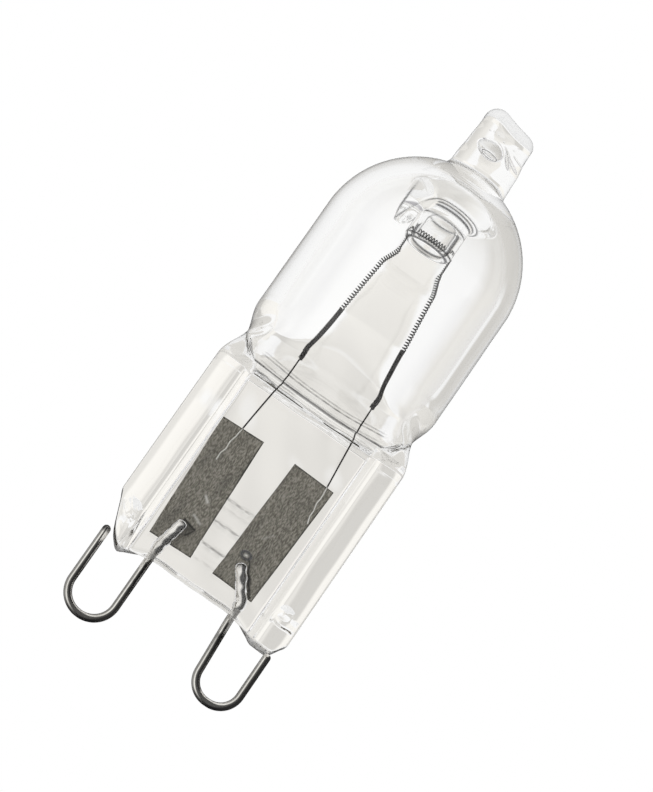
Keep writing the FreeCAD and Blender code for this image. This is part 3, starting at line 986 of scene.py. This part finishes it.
def loop_line(name):
    """The middle line of one loop in the X-Z plane, from its weld to its free end, from its CAD box."""
    low, high = node_box("loop_pin_" + name)
    drop = low[2] + PIN_RADIUS
    inner, lean = LOOP_INNER[name], LOOP_LEAN[name]
    outer = low[0] + PIN_RADIUS if name == "left" else high[0] - PIN_RADIUS
    turn = 0.99 * abs(outer - inner - lean) / 2
    points = [
        LOOP_WELD[name],
        (inner, LOOP_BEND),
        (inner, LOOP_KINK),
        (inner + lean, drop),
        (outer, drop),
        (outer, LOOP_FREE_END[name]),
    ]
    return bent(points, (LOOP_BEND_RADIUS, 0, turn, turn), 0.06)


class Graph:
    """Short ways to add and join shader or geometry nodes."""

    def __init__(self, tree):
        self.tree = tree

    def add(self, kind, *inputs, **settings):
        """A node of a kind with its settings, and its inputs set or linked in order."""
        node = self.tree.nodes.new(kind)
        for key, value in settings.items():
            setattr(node, key, value)
        for socket, value in zip(node.inputs, inputs):
            self.feed(socket, value)
        return node

    def feed(self, socket, value):
        """Links a socket to another, or sets its value."""
        if isinstance(value, bpy.types.NodeSocket):
            self.tree.links.new(value, socket)
        else:
            socket.default_value = value

    def math(self, operation, *inputs):
        """The result of one Math node."""
        return self.add("ShaderNodeMath", *inputs, operation=operation).outputs[0]

    def vector(self, operation, *inputs):
        """The vector result of one Vector Math node."""
        return self.add("ShaderNodeVectorMath", *inputs, operation=operation).outputs[0]

    def ramp(self, value, low, high, start=0.0, end=1.0, smooth=True):
        """A value taken from one range to another and held at its ends."""
        kind = "SMOOTHSTEP" if smooth else "LINEAR"
        node = self.add("ShaderNodeMapRange", value, low, high, start, end, interpolation_type=kind)
        return node.outputs[0]

    def blend(self, share, first, second):
        """A mix of two colours."""
        node = self.add("ShaderNodeMix", data_type="RGBA")
        for index, value in ((0, share), (6, first), (7, second)):
            self.feed(node.inputs[index], value)
        return node.outputs[2]

    def layer(self, name):
        """The number that a piece keeps for each of its points under a name."""
        return self.add("ShaderNodeAttribute", attribute_name=name).outputs["Fac"]

    def clear_where(self, share, shader):
        """Lets a material's rays straight through where the share is 1."""
        clear = self.add("ShaderNodeBsdfTransparent").outputs[0]
        both = self.add("ShaderNodeMixShader", share, shader.outputs[0], clear).outputs[0]
        self.feed(self.tree.nodes["Material Output"].inputs["Surface"], both)


def opaque(colour):
    """A colour with its fourth number."""
    return tuple(colour) + (1,)


def new_material(name):
    """A material with one Principled shader; returns it, its graph and the shader."""
    material = bpy.data.materials.new(name)
    material.use_nodes = True
    shader = material.node_tree.nodes["Principled BSDF"]
    return material, Graph(material.node_tree), shader


def noise(graph, scale, detail, stretch=(1.0, 1.0, 1.0)):
    """Noise over the piece's own place in metres, with its grain stretched along the axes."""
    place = graph.add("ShaderNodeTexCoord").outputs["Object"]
    spread = graph.add("ShaderNodeMapping", place)
    spread.inputs["Scale"].default_value = stretch
    texture = graph.add("ShaderNodeTexNoise", spread.outputs[0])
    texture.inputs["Scale"].default_value = scale
    texture.inputs["Detail"].default_value = detail
    return texture.outputs["Fac"]


def bump(graph, shader, height, strength, distance):
    """Fine relief on a shader's normal."""
    node = graph.add("ShaderNodeBump")
    node.inputs["Strength"].default_value = strength
    node.inputs["Distance"].default_value = distance
    graph.feed(node.inputs["Height"], height)
    graph.feed(shader.inputs["Normal"], node.outputs[0])


def within_slot(x):
    """1 over the width of the slot and 0 beside it."""
    return 1 - step(SLOT_HALF - 0.3, SLOT_HALF + 0.1, np.abs(x))


def wander_of(x):
    """How a line across the quartz strays from its height."""
    return ripple(x, 0 * x, 0 * x, 3.0, SEED + 10)


def ridge_shade_lines(x, y, z):
    """How dark the painted shade lines are along the ridges, the web's upper edge and the folds above it.
    """
    dash = step(-0.5, 0.3, ripple(x, 0 * x, 3 * z, 0.45, SEED + 6))
    span = between(*RIDGE_SPAN, RIDGE_FADE / 2, x) * (0.35 + 0.65 * dash)
    dark = np.zeros(len(x))
    for height, depth in zip(RIDGE_HEIGHTS, RIDGE_DEPTHS):
        dark = dark + RIDGE_STRENGTH * depth * line_at(z, height, RIDGE_LINE) * span
    within = within_slot(x)
    dark = dark + (0.1 + 0.4 * dash) * line_at(z, WEB_TOP - WEB_EDGE_DROP, WEB_EDGE_LINE) * within
    for height, strength in FOLDS:
        bowed = height + FOLD_BOW * x * x + 0.02 * wander_of(x)
        dark = dark + strength * (0.6 + 0.4 * dash) * line_at(z, bowed, FOLD_LINE) * within
    return dark * (y < RIDGE_SHADE_DEPTH) * (z < RIDGE_SHADE_TOP)


def trough_lines(x, y, z):
    """How dark the painted shade lines are along the rim of the trough under the gas space, and in the
    swirls below it.
    """
    bowed = TROUGH_RIM + TROUGH_RIM_BOW * x * x + 0.03 * wander_of(x)
    dark = np.where(y < 0, TROUGH_RIM_FRONT, TROUGH_RIM_BACK) * line_at(z, bowed, TROUGH_RIM_LINE)
    swirl = step(*SWIRL_LEFT, -x) + 0.6 * step(*SWIRL_RIGHT, x)
    streaks = step(-0.1, 0.5, ripple(0.5 * x, y, 3 * z, 0.7, SEED + 14))
    low = line_at(z, TROUGH_RIM - SWIRL_DROP, SWIRL_LINE) * within_slot(x)
    dark = dark + SWIRL_STRENGTH * swirl * streaks * low
    inside = (np.abs(x) < TROUGH_LINES_HALF[0]) & (np.abs(y) < TROUGH_LINES_HALF[1])
    return dark * inside * (z > TROUGH_LINES_SPAN[0]) * (z < TROUGH_LINES_SPAN[1])


def stub_lines(x, y, z):
    """How dark the painted shade lines are along the edges of the stub, of its bore and of the fin, and on
    the sides of the stub and its bore.
    """
    around = np.hypot(x, y)
    dark = np.zeros(len(x))
    for radius, height, width, strength in STUB_EDGES:
        dark = dark + strength * line_at(around, radius, width) * line_at(z, height, width)
    left = -x / np.maximum(around, 0.1)
    fin = fin_share(left)
    strength = 2.5 - 1.9 * step(0.05, 0.3, fin) * (1 - step(0.6, 0.9, fin))
    edge = line_at(around, STUB_RADIUS + FLARE_FILLET + FIN_REACH * fin, FIN_LINE)
    dark = dark + strength * edge * line_at(z, FLARE_FLOOR - FIN_DROP * fin, FIN_LINE)
    turn = np.arccos(np.clip(left, -1, 1))
    outline_radius = FIN_OUTLINE_RADIUS + FIN_OUTLINE_SPREAD * step(0, 0.9, turn)
    outline = line_at(around, outline_radius, FIN_OUTLINE_LINE)
    outline = outline * (y < 0) * (z > FIN_OUTLINE_SPAN[0]) * (z < FIN_OUTLINE_SPAN[1])
    dark = dark + FIN_OUTLINE_STRENGTH * outline * (1 - step(0.1, 0.6, turn))
    ring_line = line_at(around, STUB_RADIUS, STUB_LINE[0]) * line_at(z, STUB_LINE_HEIGHT, STUB_LINE[1])
    dark = dark + STUB_LINE_STRENGTH * ring_line * (y < 0)
    for radius, reach in STUB_SIDES:
        side = (np.abs(around - radius) < STUB_SIDE_SKIN) * (1 - step(0.5 * reach, reach, np.abs(y)))
        dark = dark + side * between(*STUB_SIDE_SPAN, STUB_SIDE_FADE, z)
    return dark


def hollow_lines(x, y, z):
    """How dark the painted shade is on the edges and the faces of the hollows in the tip."""
    dark = np.zeros(len(x))
    for place, half, tilt, edge, face in TIP_HOLLOWS:
        across, height = turned(x - place[0], z - place[2], -tilt)
        depth = np.abs(y - place[1]) / half[1]
        on_wall = np.abs((across / half[0]) ** 2 + (height / half[2]) ** 2 + depth ** 2 - 1) < 0.05
        dark = dark + on_wall * (face + edge * (1 - step(0.15, 0.5, depth)))
    return dark


def paint_line_shade(mesh):
    """Writes the painted shade of each point of the quartz, in dark lines where its ridges, folds, trough,
    stub and hollows look dark.
    """
    place = places(mesh)
    dark = ridge_shade_lines(*place) + trough_lines(*place) + stub_lines(*place) + hollow_lines(*place)
    write_layer(mesh, "line_shade", dark)


def quartz_material(look):
    """Clear quartz, darkened along painted shade lines, that lets lamps through and holds no light for
    ever.
    """
    material, graph, shader = new_material("clear_quartz")
    shader.inputs["IOR"].default_value = look.ior
    shader.inputs["Transmission Weight"].default_value = 1.0
    shader.inputs["Roughness"].default_value = 0.0
    cloud = noise(graph, scale=260.0, detail=2.0)
    clear = graph.blend(cloud, opaque(look.tint), (1, 1, 1, 1))
    # The layer read here darkens the quartz with painted shade lines
    graph.feed(shader.inputs["Base Color"], graph.blend(graph.layer("line_shade"), clear, opaque(look.shade_line_colour)))
    ray = graph.add("ShaderNodeLightPath").outputs
    trapped = graph.math("GREATER_THAN", ray["Ray Depth"], TRAPPED_DEPTH)
    graph.clear_where(graph.math("MAXIMUM", ray["Is Shadow Ray"], trapped), shader)
    return material


def metal_material(name, colour, streak_colour, roughness, scale, stretch, relief):
    """Bare metal with streaks, lighter along scratches and painted highlights, and darker under painted
    shade and mottling.
    """
    material, graph, shader = new_material(name)
    streaks = noise(graph, scale, 6.0, stretch)
    bare = graph.blend(graph.ramp(streaks, 0.35, 0.7), opaque(colour), opaque(streak_colour))
    # The bright layer adds scratches and painted highlights, the shade layer painted shade and mottling
    bare = graph.blend(graph.layer("bright"), bare, SCRATCH_AND_GLINT_COLOUR)
    graph.feed(shader.inputs["Base Color"], graph.blend(graph.layer("shade"), bare, SHADE_AND_MOTTLE_COLOUR))
    gloss = graph.ramp(streaks, 0.3, 0.7, roughness * 0.8, roughness * 1.25)
    graph.feed(shader.inputs["Roughness"], gloss)
    shader.inputs["Metallic"].default_value = 1.0
    bump(graph, shader, streaks, relief, METAL_RELIEF)
    return material


class QuartzLook(bpy.types.PropertyGroup):
    ior: bpy.props.FloatProperty(name="IOR", description="Refraction of the quartz", default=1.46, min=1.0)
    tint: bpy.props.FloatVectorProperty(
        name="Tint", description="Colour of cloudy quartz", subtype="COLOR", default=(0.985, 0.985, 0.98)
    )
    # Colour of the painted shade lines in the quartz
    shade_line_colour: bpy.props.FloatVectorProperty(
        name="Marks", description="Colour of the dark lines", subtype="COLOR", default=(0.03, 0.03, 0.032)
    )
    unevenness: bpy.props.FloatProperty(
        name="Unevenness", description="Depth of the quartz's waves", unit="LENGTH", default=0.02 * MM
    )


class FilamentLook(bpy.types.PropertyGroup):
    coil_diameter: bpy.props.FloatProperty(
        name="Coil diameter", description="Outer width of the coil", unit="LENGTH", default=0.34 * MM
    )
    wire_diameter: bpy.props.FloatProperty(
        name="Wire diameter", description="Thickness of the wound wire", unit="LENGTH", default=0.08 * MM
    )
    close_turns: bpy.props.IntProperty(
        name="Close turns", description="Turns at the foot of a leg", default=46
    )
    open_turns: bpy.props.IntProperty(
        name="Open turns", description="Turns half way up a leg", default=19
    )
    twist_turns: bpy.props.IntProperty(
        name="Twist turns", description="Turns from the elbow to the stub", default=22
    )
    comb_turns: bpy.props.IntProperty(
        name="Comb turns", description="Turns in half of the stub", default=6
    )
    colour: bpy.props.FloatVectorProperty(
        name="Colour", description="Bare tungsten", subtype="COLOR", default=(0.03, 0.028, 0.027)
    )


class FoilLook(bpy.types.PropertyGroup):
    colour: bpy.props.FloatVectorProperty(
        name="Colour", description="Rolled foil", subtype="COLOR", default=(0.13, 0.122, 0.102)
    )
    streaks: bpy.props.FloatVectorProperty(
        name="Streaks", description="Brighter rolling streaks", subtype="COLOR", default=(0.42, 0.40, 0.348)
    )
    crease: bpy.props.FloatProperty(
        name="Crease", description="Depth of the creases near the welds", unit="LENGTH", default=0.03 * MM
    )


class LoopLook(bpy.types.PropertyGroup):
    colour: bpy.props.FloatVectorProperty(
        name="Colour", description="Drawn wire", subtype="COLOR", default=(0.92, 0.90, 0.86)
    )
    dark: bpy.props.FloatVectorProperty(
        name="Dark streaks", description="Oxide in the wire", subtype="COLOR", default=(0.75, 0.73, 0.69)
    )
    roughness: bpy.props.FloatProperty(name="Roughness", description="Gloss of the wire", default=0.18)


class StageLook(bpy.types.PropertyGroup):
    floor_colour: bpy.props.FloatVectorProperty(
        name="Floor", description="Pale floor", subtype="COLOR", default=(0.86, 0.86, 0.86)
    )
    light: bpy.props.FloatProperty(name="Light", description="Strength of the room's light", default=1.05)
    lamp: bpy.props.FloatProperty(
        name="Lamp", description="Power of the soft lamp", unit="POWER", default=0.25
    )
    lean: bpy.props.FloatProperty(
        name="Lean", description="Roll of the camera", subtype="ANGLE", default=math.radians(34.8)
    )
    height: bpy.props.FloatProperty(
        name="Elevation", description="Angle above the bulb", subtype="ANGLE", default=math.radians(-12.0)
    )
    distance: bpy.props.FloatProperty(
        name="Distance", description="Camera to target", unit="LENGTH", default=215.0 * MM
    )
    lens: bpy.props.FloatProperty(name="Lens", description="Focal length in millimetres", default=162.05)


class BULB_OT_quartz(bpy.types.Operator):
    """Builds the blown and pinched quartz envelope with its hollows"""

    bl_idname = "bulb.quartz"
    bl_label = "Quartz envelope"

    def execute(self, context):
        look = context.scene.bulb_quartz
        uneven = look.unevenness / MM
        parts = [outer_wall(uneven), gas_wall(uneven)] + tip_hollows()
        parts += [sheath(loop_line(name)) for name in SIDES]
        parts.append(hollow(BLISTER_PLACE, BLISTER_HALF, 0.0))
        piece = finished("quartz", parts, quartz_material(look))
        paint_line_shade(piece.data)
        hand_over(piece, "quartz_envelope")
        return {"FINISHED"}


class BULB_OT_filament(bpy.types.Operator):
    """Winds the filament's coil along its path and adds its two tails"""

    bl_idname = "bulb.filament"
    bl_label = "Filament"

    def execute(self, context):
        look = context.scene.bulb_filament
        streaks = [c * 2.2 for c in look.colour]
        material = metal_material(
            "bare_tungsten",
            look.colour,
            streaks,
            roughness=0.35,
            scale=4000.0,
            stretch=(1, 1, 1),
            relief=0.3,
        )
        parts = [wound_coil(look, material)]
        for points in TAIL_PATHS:
            rounds = (TAIL_ROUND,) * (len(points) - 2)
            line = in_plane(bent(points, rounds, 0.05), TAIL_PLANE)
            parts.append(tube(*rounded_ends(line, TAIL_RADIUS), TAIL_SIDES))
        piece = finished("filament_wire", parts, material)
        # Painted highlight: the tails are lighter below where they lie over the foils
        height = places(piece.data)[2]
        write_layer(piece.data, "bright", 1 - step(*TAIL_HIGHLIGHT_ENDS, height))
        hand_over(piece, "filament")
        return {"FINISHED"}


class BULB_OT_foils(bpy.types.Operator):
    """Builds the two thin sealing foils"""

    bl_idname = "bulb.foils"
    bl_label = "Sealing foils"

    def execute(self, context):
        look = context.scene.bulb_foils
        material = metal_material(
            "rolled_foil",
            look.colour,
            look.streaks,
            roughness=0.42,
            scale=15000.0,
            stretch=(1.0, 1.0, 0.35),
            relief=0.35,
        )
        for name in SIDES:
            piece = finished("foil_" + name + "_sheet", [foil_sheet(name, look.crease / MM)], material)
            shade_foil(piece.data, name)
            hand_over(piece, "foil_" + name)
        return {"FINISHED"}


class BULB_OT_loops(bpy.types.Operator):
    """Bends the two wire loops"""

    bl_idname = "bulb.loops"
    bl_label = "Wire loops"

    def execute(self, context):
        look = context.scene.bulb_loops
        material = metal_material(
            "drawn_wire",
            look.colour,
            look.dark,
            look.roughness,
            scale=1500.0,
            stretch=(1, 1, 0.2),
            relief=0.15,
        )
        for name in SIDES:
            wire = sealed_wire(loop_line(name), PIN_RADIUS)
            piece = finished("loop_" + name + "_wire", [wire], material)
            shade_sealed(piece.data, name)
            hand_over(piece, "loop_pin_" + name)
        return {"FINISHED"}


class BULB_OT_stage(bpy.types.Operator):
    """Sets the floor, the light, the room and the camera"""

    bl_idname = "bulb.stage"
    bl_label = "Stage"

    def execute(self, context):
        look = context.scene.bulb_stage
        context.scene.view_settings.view_transform = "Standard"
        light_paths = context.scene.cycles
        light_paths.max_bounces = LIGHT_BOUNCES
        light_paths.glossy_bounces = LIGHT_BOUNCES
        light_paths.transmission_bounces = LIGHT_BOUNCES
        make_floor(look)
        make_lamp(look)
        make_room(look)
        make_camera(look)
        return {"FINISHED"}


class BULB_PT_panel(bpy.types.Panel):
    """Lists the pieces of the bulb and their sizes"""

    bl_label = "Capsule bulb"
    bl_idname = "BULB_PT_panel"
    bl_space_type = "VIEW_3D"
    bl_region_type = "UI"
    bl_category = "Capsule Bulb"

    def draw(self, context):
        for operator, group in PIECES:
            box = self.layout.box()
            box.operator(operator)
            looks = getattr(context.scene, group)
            for key in looks.bl_rna.properties.keys():
                if key not in ("rna_type", "name"):
                    box.prop(looks, key)


def coil_tree(material):
    """Geometry nodes that wind a wire about a path: close at its ends, then open, twisted in the middle."""
    tree = bpy.data.node_groups.new("coil_winding", "GeometryNodeTree")
    face = tree.interface
    face.new_socket("Path", in_out="INPUT", socket_type="NodeSocketGeometry")
    for name in ("Coil Radius", "Wire Radius") + TURN_SOCKETS:
        face.new_socket(name, in_out="INPUT", socket_type="NodeSocketFloat")
    face.new_socket("Points", in_out="INPUT", socket_type="NodeSocketInt")
    face.new_socket("Wire", in_out="OUTPUT", socket_type="NodeSocketGeometry")
    graph = Graph(tree)
    given = graph.add("NodeGroupInput").outputs
    line = graph.add("GeometryNodeMeshToCurve", given["Path"]).outputs[0]
    fine = graph.add("GeometryNodeResampleCurve")
    graph.feed(fine.inputs["Curve"], line)
    graph.feed(fine.inputs["Count"], given["Points"])
    share = graph.add("GeometryNodeSplineParameter").outputs["Factor"]
    centred = graph.math("SUBTRACT", share, 0.5)
    up = graph.math("SUBTRACT", 1.0, graph.math("MULTIPLY", graph.math("ABSOLUTE", centred), 2.0))
    limits = (0.0, CLOSE_SHARE, OPEN_SHARE, COMB_SHARE, 1.0)
    done = []
    for name, low, high in zip(TURN_SOCKETS, limits, limits[1:]):
        done.append(graph.math("MULTIPLY", graph.ramp(up, low, high, smooth=False), given[name]))
    turns = graph.math("ADD", graph.math("ADD", *done[:2]), graph.math("ADD", *done[2:]))
    turns = graph.math("MULTIPLY", turns, graph.math("SIGN", centred))
    angle = graph.math("MULTIPLY", turns, 2 * math.pi)
    drawn = graph.ramp(up, TWIST_SHARE, TWIST_SHARE + 0.03, 1.0, DRAWN_IN)
    teeth = graph.ramp(up, COMB_SHARE, COMB_SHARE + 0.01, 0.0, DRAWN_IN)
    radius = graph.math("MULTIPLY", given["Coil Radius"], graph.math("ADD", drawn, teeth))
    tangent = graph.add("GeometryNodeInputTangent").outputs[0]
    sideways = graph.vector("CROSS_PRODUCT", tangent, (0.0, 1.0, 0.0))
    back = graph.math("MULTIPLY", graph.math("COSINE", angle), radius)
    depth = graph.add("ShaderNodeCombineXYZ", 0.0, back, 0.0)
    spread = graph.add("ShaderNodeVectorMath", sideways, operation="SCALE")
    graph.feed(spread.inputs["Scale"], graph.math("MULTIPLY", graph.math("SINE", angle), radius))
    moved = graph.add("GeometryNodeSetPosition")
    graph.feed(moved.inputs["Geometry"], fine.outputs[0])
    graph.feed(moved.inputs["Offset"], graph.vector("ADD", depth.outputs[0], spread.outputs[0]))
    outline = graph.add("GeometryNodeCurvePrimitiveCircle")
    outline.inputs["Resolution"].default_value = 6
    graph.feed(outline.inputs["Radius"], given["Wire Radius"])
    swept = graph.add("GeometryNodeCurveToMesh")
    graph.feed(swept.inputs["Curve"], moved.outputs[0])
    graph.feed(swept.inputs["Profile Curve"], outline.outputs[0])
    swept.inputs["Fill Caps"].default_value = True
    real = graph.add("GeometryNodeRealizeInstances", swept.outputs[0])
    dressed = graph.add("GeometryNodeSetMaterial", real.outputs[0])
    dressed.inputs["Material"].default_value = material
    graph.add("NodeGroupOutput", dressed.outputs[0])
    return tree


def wound_coil(look, material):
    """Points in millimetres and faces of the filament's coil, wound by geometry nodes."""
    path = in_plane(bent(COIL_PATH, COIL_ROUNDS, 0.06), TAIL_PLANE) * MM
    mesh = bpy.data.meshes.new("coil_path")
    mesh.from_pydata(path.tolist(), [(i, i + 1) for i in range(len(path) - 1)], [])
    host = bpy.data.objects.new("coil_path", mesh)
    bpy.context.collection.objects.link(host)
    tree = coil_tree(material)
    modifier = host.modifiers.new("coil_winding", "NODES")
    modifier.node_group = tree
    turns = (look.close_turns, look.open_turns, look.twist_turns, look.comb_turns)
    values = dict(zip(TURN_SOCKETS, map(float, turns)))
    values["Coil Radius"] = (look.coil_diameter - look.wire_diameter) / 2
    values["Wire Radius"] = look.wire_diameter / 2
    values["Points"] = 2 * sum(turns) * POINTS_PER_TURN
    for item in tree.interface.items_tree:
        if item.in_out == "INPUT" and item.name in values:
            modifier[item.identifier] = values[item.name]
    depsgraph = bpy.context.evaluated_depsgraph_get()
    wound = bpy.data.meshes.new_from_object(host.evaluated_get(depsgraph), depsgraph=depsgraph)
    host.modifiers.remove(modifier)
    bpy.data.objects.remove(host)
    if not wound.polygons:
        raise RuntimeError("the coil has no faces")
    return places(wound).T, [list(f.vertices) for f in wound.polygons]


def foil_sheet(name, crease):
    """A thin strip, leaning as its CAD node does, with rolled unevenness and creases round the weld."""
    low, high = node_box("foil_" + name)
    centre = (low + high) / 2
    weld_x, weld_z = LOOP_WELD[name]
    across = np.linspace(-FOIL_WIDTH / 2, FOIL_WIDTH / 2, 56)
    heights = np.linspace(-FOIL_LENGTH / 2, FOIL_LENGTH / 2, 160)
    half_gap = FOIL_CREASE_GAP / 2
    rows = []
    for index, height in enumerate(heights):
        x, z = turned(across, height, FOIL_LEAN[name])
        x, z = centre[0] + x, centre[2] + z
        near = np.exp(-(np.hypot(x - weld_x, (z - weld_z + 0.6) * 0.7) / 0.9) ** 2)
        slant = (x - weld_x) * FOIL_CREASE_SLANT
        fold = np.abs((slant + (z - weld_z)) % FOIL_CREASE_GAP - half_gap)
        fold = fold + np.abs((slant - z) % FOIL_CREASE_GAP - half_gap)
        wave = crease * (near * fold * 1.6 + 0.35 * ripple(x, 0 * x, z * 0.3, 0.8, SEED + 5))
        half = 0.0 if index in (0, len(heights) - 1) else FOIL_THICKNESS / 2
        rows.append(np.concatenate([row(x, wave - half, z), row(x, wave + half, z)[::-1]]))
    return skin(rows)


def make_floor(look):
    """A wide pale floor just under the loops; it is seen from above only."""
    material, graph, shader = new_material("pale_floor")
    soft = opaque(c * 0.985 for c in look.floor_colour)
    shade = graph.blend(noise(graph, scale=30.0, detail=2.0), soft, opaque(look.floor_colour))
    graph.feed(shader.inputs["Base Color"], shade)
    shader.inputs["Roughness"].default_value = 0.9
    graph.clear_where(graph.add("ShaderNodeNewGeometry").outputs["Backfacing"], shader)
    level = CAD_BOX[0][2] - FLOOR_GAP
    corners = [(FLOOR_REACH * x, FLOOR_REACH * y, level) for x, y in ((-1, -1), (1, -1), (1, 1), (-1, 1))]
    mesh = bpy.data.meshes.new("floor")
    mesh.from_pydata(corners, [], [(0, 1, 2, 3)])
    mesh.materials.append(material)
    floor = bpy.data.objects.new("floor", mesh)
    floor.visible_glossy = False
    bpy.context.collection.objects.link(floor)


def make_lamp(look):
    """One broad soft lamp, high on the left."""
    light = bpy.data.lights.new("soft_lamp", "AREA")
    light.energy = look.lamp
    light.size = LAMP_SIZE
    lamp = bpy.data.objects.new("soft_lamp", light)
    lamp.location = LAMP_PLACE
    lamp.rotation_mode = "QUATERNION"
    lamp.rotation_quaternion = (-Vector(lamp.location)).to_track_quat("-Z", "Y")
    lamp.visible_glossy = False
    lamp.visible_transmission = False
    bpy.context.collection.objects.link(lamp)


def make_room(look):
    """The room: white to the eye, with grey and dark stretches that the quartz and the metal pick up."""
    world = bpy.data.worlds.new("studio_room")
    bpy.context.scene.world = world
    world.use_nodes = True
    graph = Graph(world.node_tree)
    background = world.node_tree.nodes["Background"]
    way = graph.add("ShaderNodeTexCoord").outputs["Generated"]
    parts = graph.add("ShaderNodeSeparateXYZ", way).outputs
    turn = graph.math("DEGREES", graph.math("ARCTAN2", parts["X"], parts["Y"]))
    rise = graph.math("DEGREES", graph.math("ARCSINE", parts["Z"]))
    ray = graph.add("ShaderNodeLightPath").outputs
    plain = opaque((look.light,) * 3)
    colour = graph.blend(ray["Is Glossy Ray"], plain, shine_of_room(graph, turn, rise))
    colour = graph.blend(ray["Is Transmission Ray"], colour, backdrop_of_room(graph, turn, rise))
    trapped = graph.math("GREATER_THAN", ray["Ray Depth"], TRAPPED_DEPTH)
    colour = graph.blend(trapped, colour, grey_of(TRAPPED_GREY))
    colour = graph.blend(ray["Is Camera Ray"], colour, (1, 1, 1, 1))
    graph.feed(background.inputs["Color"], colour)
    world.cycles.sampling_method = "NONE"


def window(graph, value, low, high, soft):
    """1 between two limits and 0 outside them, with soft edges."""
    if isinstance(high, bpy.types.NodeSocket):
        above = graph.ramp(graph.math("SUBTRACT", value, low), -soft, soft)
        below = graph.ramp(graph.math("SUBTRACT", value, high), -soft, soft, 1.0, 0.0)
    else:
        above = graph.ramp(value, low - soft, low + soft)
        below = graph.ramp(value, high - soft, high + soft, 1.0, 0.0)
    return graph.math("MULTIPLY", above, below)


def grey_of(level):
    """A warm grey of one level."""
    return (level, level * 0.977, level * 0.93, 1)


def card(graph, turn, rise, sides, heights):
    """1 on a card between two sides and two heights, and 0 beside it."""
    return graph.math("MULTIPLY", window(graph, turn, *sides), window(graph, rise, *heights))


def fade(graph, value, low, high, start, end):
    """A grey that changes from one level to another between two limits."""
    return graph.blend(graph.ramp(value, low, high), grey_of(start), grey_of(end))


def backdrop_of_room(graph, turn, rise):
    """What the quartz lets through: a white room with grey cards behind the bulb."""
    right = window(graph, turn, *RIGHT_CARD)
    colour = graph.blend(right, (1.0, 1.0, 1.0, 1), fade(graph, turn, *RIGHT_GREYS))
    dome = card(graph, turn, rise, *DOME_CARD)
    colour = graph.blend(dome, colour, fade(graph, turn, *DOME_GREYS))
    half = graph.ramp(rise, *SLOT_CARD_TAPER, smooth=False)
    sides = (graph.math("MULTIPLY", half, -1.0), half, SLOT_CARD_SOFTNESS)
    slot = card(graph, turn, rise, sides, SLOT_CARD_RISE)
    colour = graph.blend(slot, colour, fade(graph, rise, *SLOT_GREYS))
    shade = grey_of(1.0)
    for low, high, level in PINCH_GREYS:
        shade = graph.blend(graph.ramp(turn, low, high), shade, grey_of(level))
    colour = graph.blend(card(graph, turn, rise, *PINCH_CARD), colour, shade)
    edge = card(graph, graph.math("ABSOLUTE", turn), rise, *EDGE_CARD)
    return graph.blend(edge, colour, EDGE_GREY)


def shine_of_room(graph, turn, rise):
    """What metal and quartz mirror: a bright window at the front left, dark to the right and below."""
    level = graph.ramp(turn, *FRONT_RIGHT_GLOW)
    level = graph.math("MAXIMUM", level, graph.ramp(turn, *FRONT_LEFT_GLOW))
    level = graph.math("MAXIMUM", level, window(graph, turn, *MAIN_WINDOW))
    side = graph.math("MULTIPLY", window(graph, turn, *SIDE_WINDOW), SIDE_WINDOW_LEVEL)
    level = graph.math("MAXIMUM", level, side)
    level = graph.math("MULTIPLY", level, graph.ramp(rise, *FLOOR_DARKNESS))
    level = graph.math("MAXIMUM", level, graph.ramp(rise, *CEILING_GLOW))
    return graph.blend(level, (0.01, 0.01, 0.011, 1), (1.0, 1.0, 0.98, 1))


def make_camera(look):
    """The camera, a little below the bulb and rolled so that the bulb leans."""
    data = bpy.data.cameras.new("camera")
    data.lens = look.lens
    data.clip_start, data.clip_end = CAMERA_CLIP
    camera = bpy.data.objects.new("camera", data)
    target = Vector(CAMERA_TARGET) * MM
    back = Vector((0, -math.cos(look.height), math.sin(look.height)))
    camera.location = target + back * look.distance
    camera.rotation_mode = "QUATERNION"
    camera.rotation_quaternion = (-back).to_track_quat("-Z", "Y") @ Quaternion((0, 0, 1), look.lean)
    bpy.context.collection.objects.link(camera)
    bpy.context.scene.camera = camera


GROUPS = {
    "bulb_quartz": QuartzLook,
    "bulb_filament": FilamentLook,
    "bulb_foils": FoilLook,
    "bulb_loops": LoopLook,
    "bulb_stage": StageLook,
}
PIECES = (
    ("bulb.quartz", "bulb_quartz"),
    ("bulb.filament", "bulb_filament"),
    ("bulb.foils", "bulb_foils"),
    ("bulb.loops", "bulb_loops"),
    ("bulb.stage", "bulb_stage"),
)
CLASSES = (BULB_OT_quartz, BULB_OT_filament, BULB_OT_foils, BULB_OT_loops, BULB_OT_stage, BULB_PT_panel)


def register():
    """Registers the looks, the operators and the panel."""
    for name, group in GROUPS.items():
        bpy.utils.register_class(group)
        setattr(bpy.types.Scene, name, bpy.props.PointerProperty(type=group))
    for item in CLASSES:
        bpy.utils.register_class(item)


def unregister():
    """Takes them away again."""
    for item in reversed(CLASSES):
        bpy.utils.unregister_class(item)
    for name, group in GROUPS.items():
        delattr(bpy.types.Scene, name)
        bpy.utils.unregister_class(group)


def main():
    """Builds every piece and the stage."""
    register()
    bpy.ops.bulb.quartz()
    bpy.ops.bulb.filament()
    bpy.ops.bulb.foils()
    bpy.ops.bulb.loops()
    bpy.ops.bulb.stage()


if __name__ == "__main__":
    main()
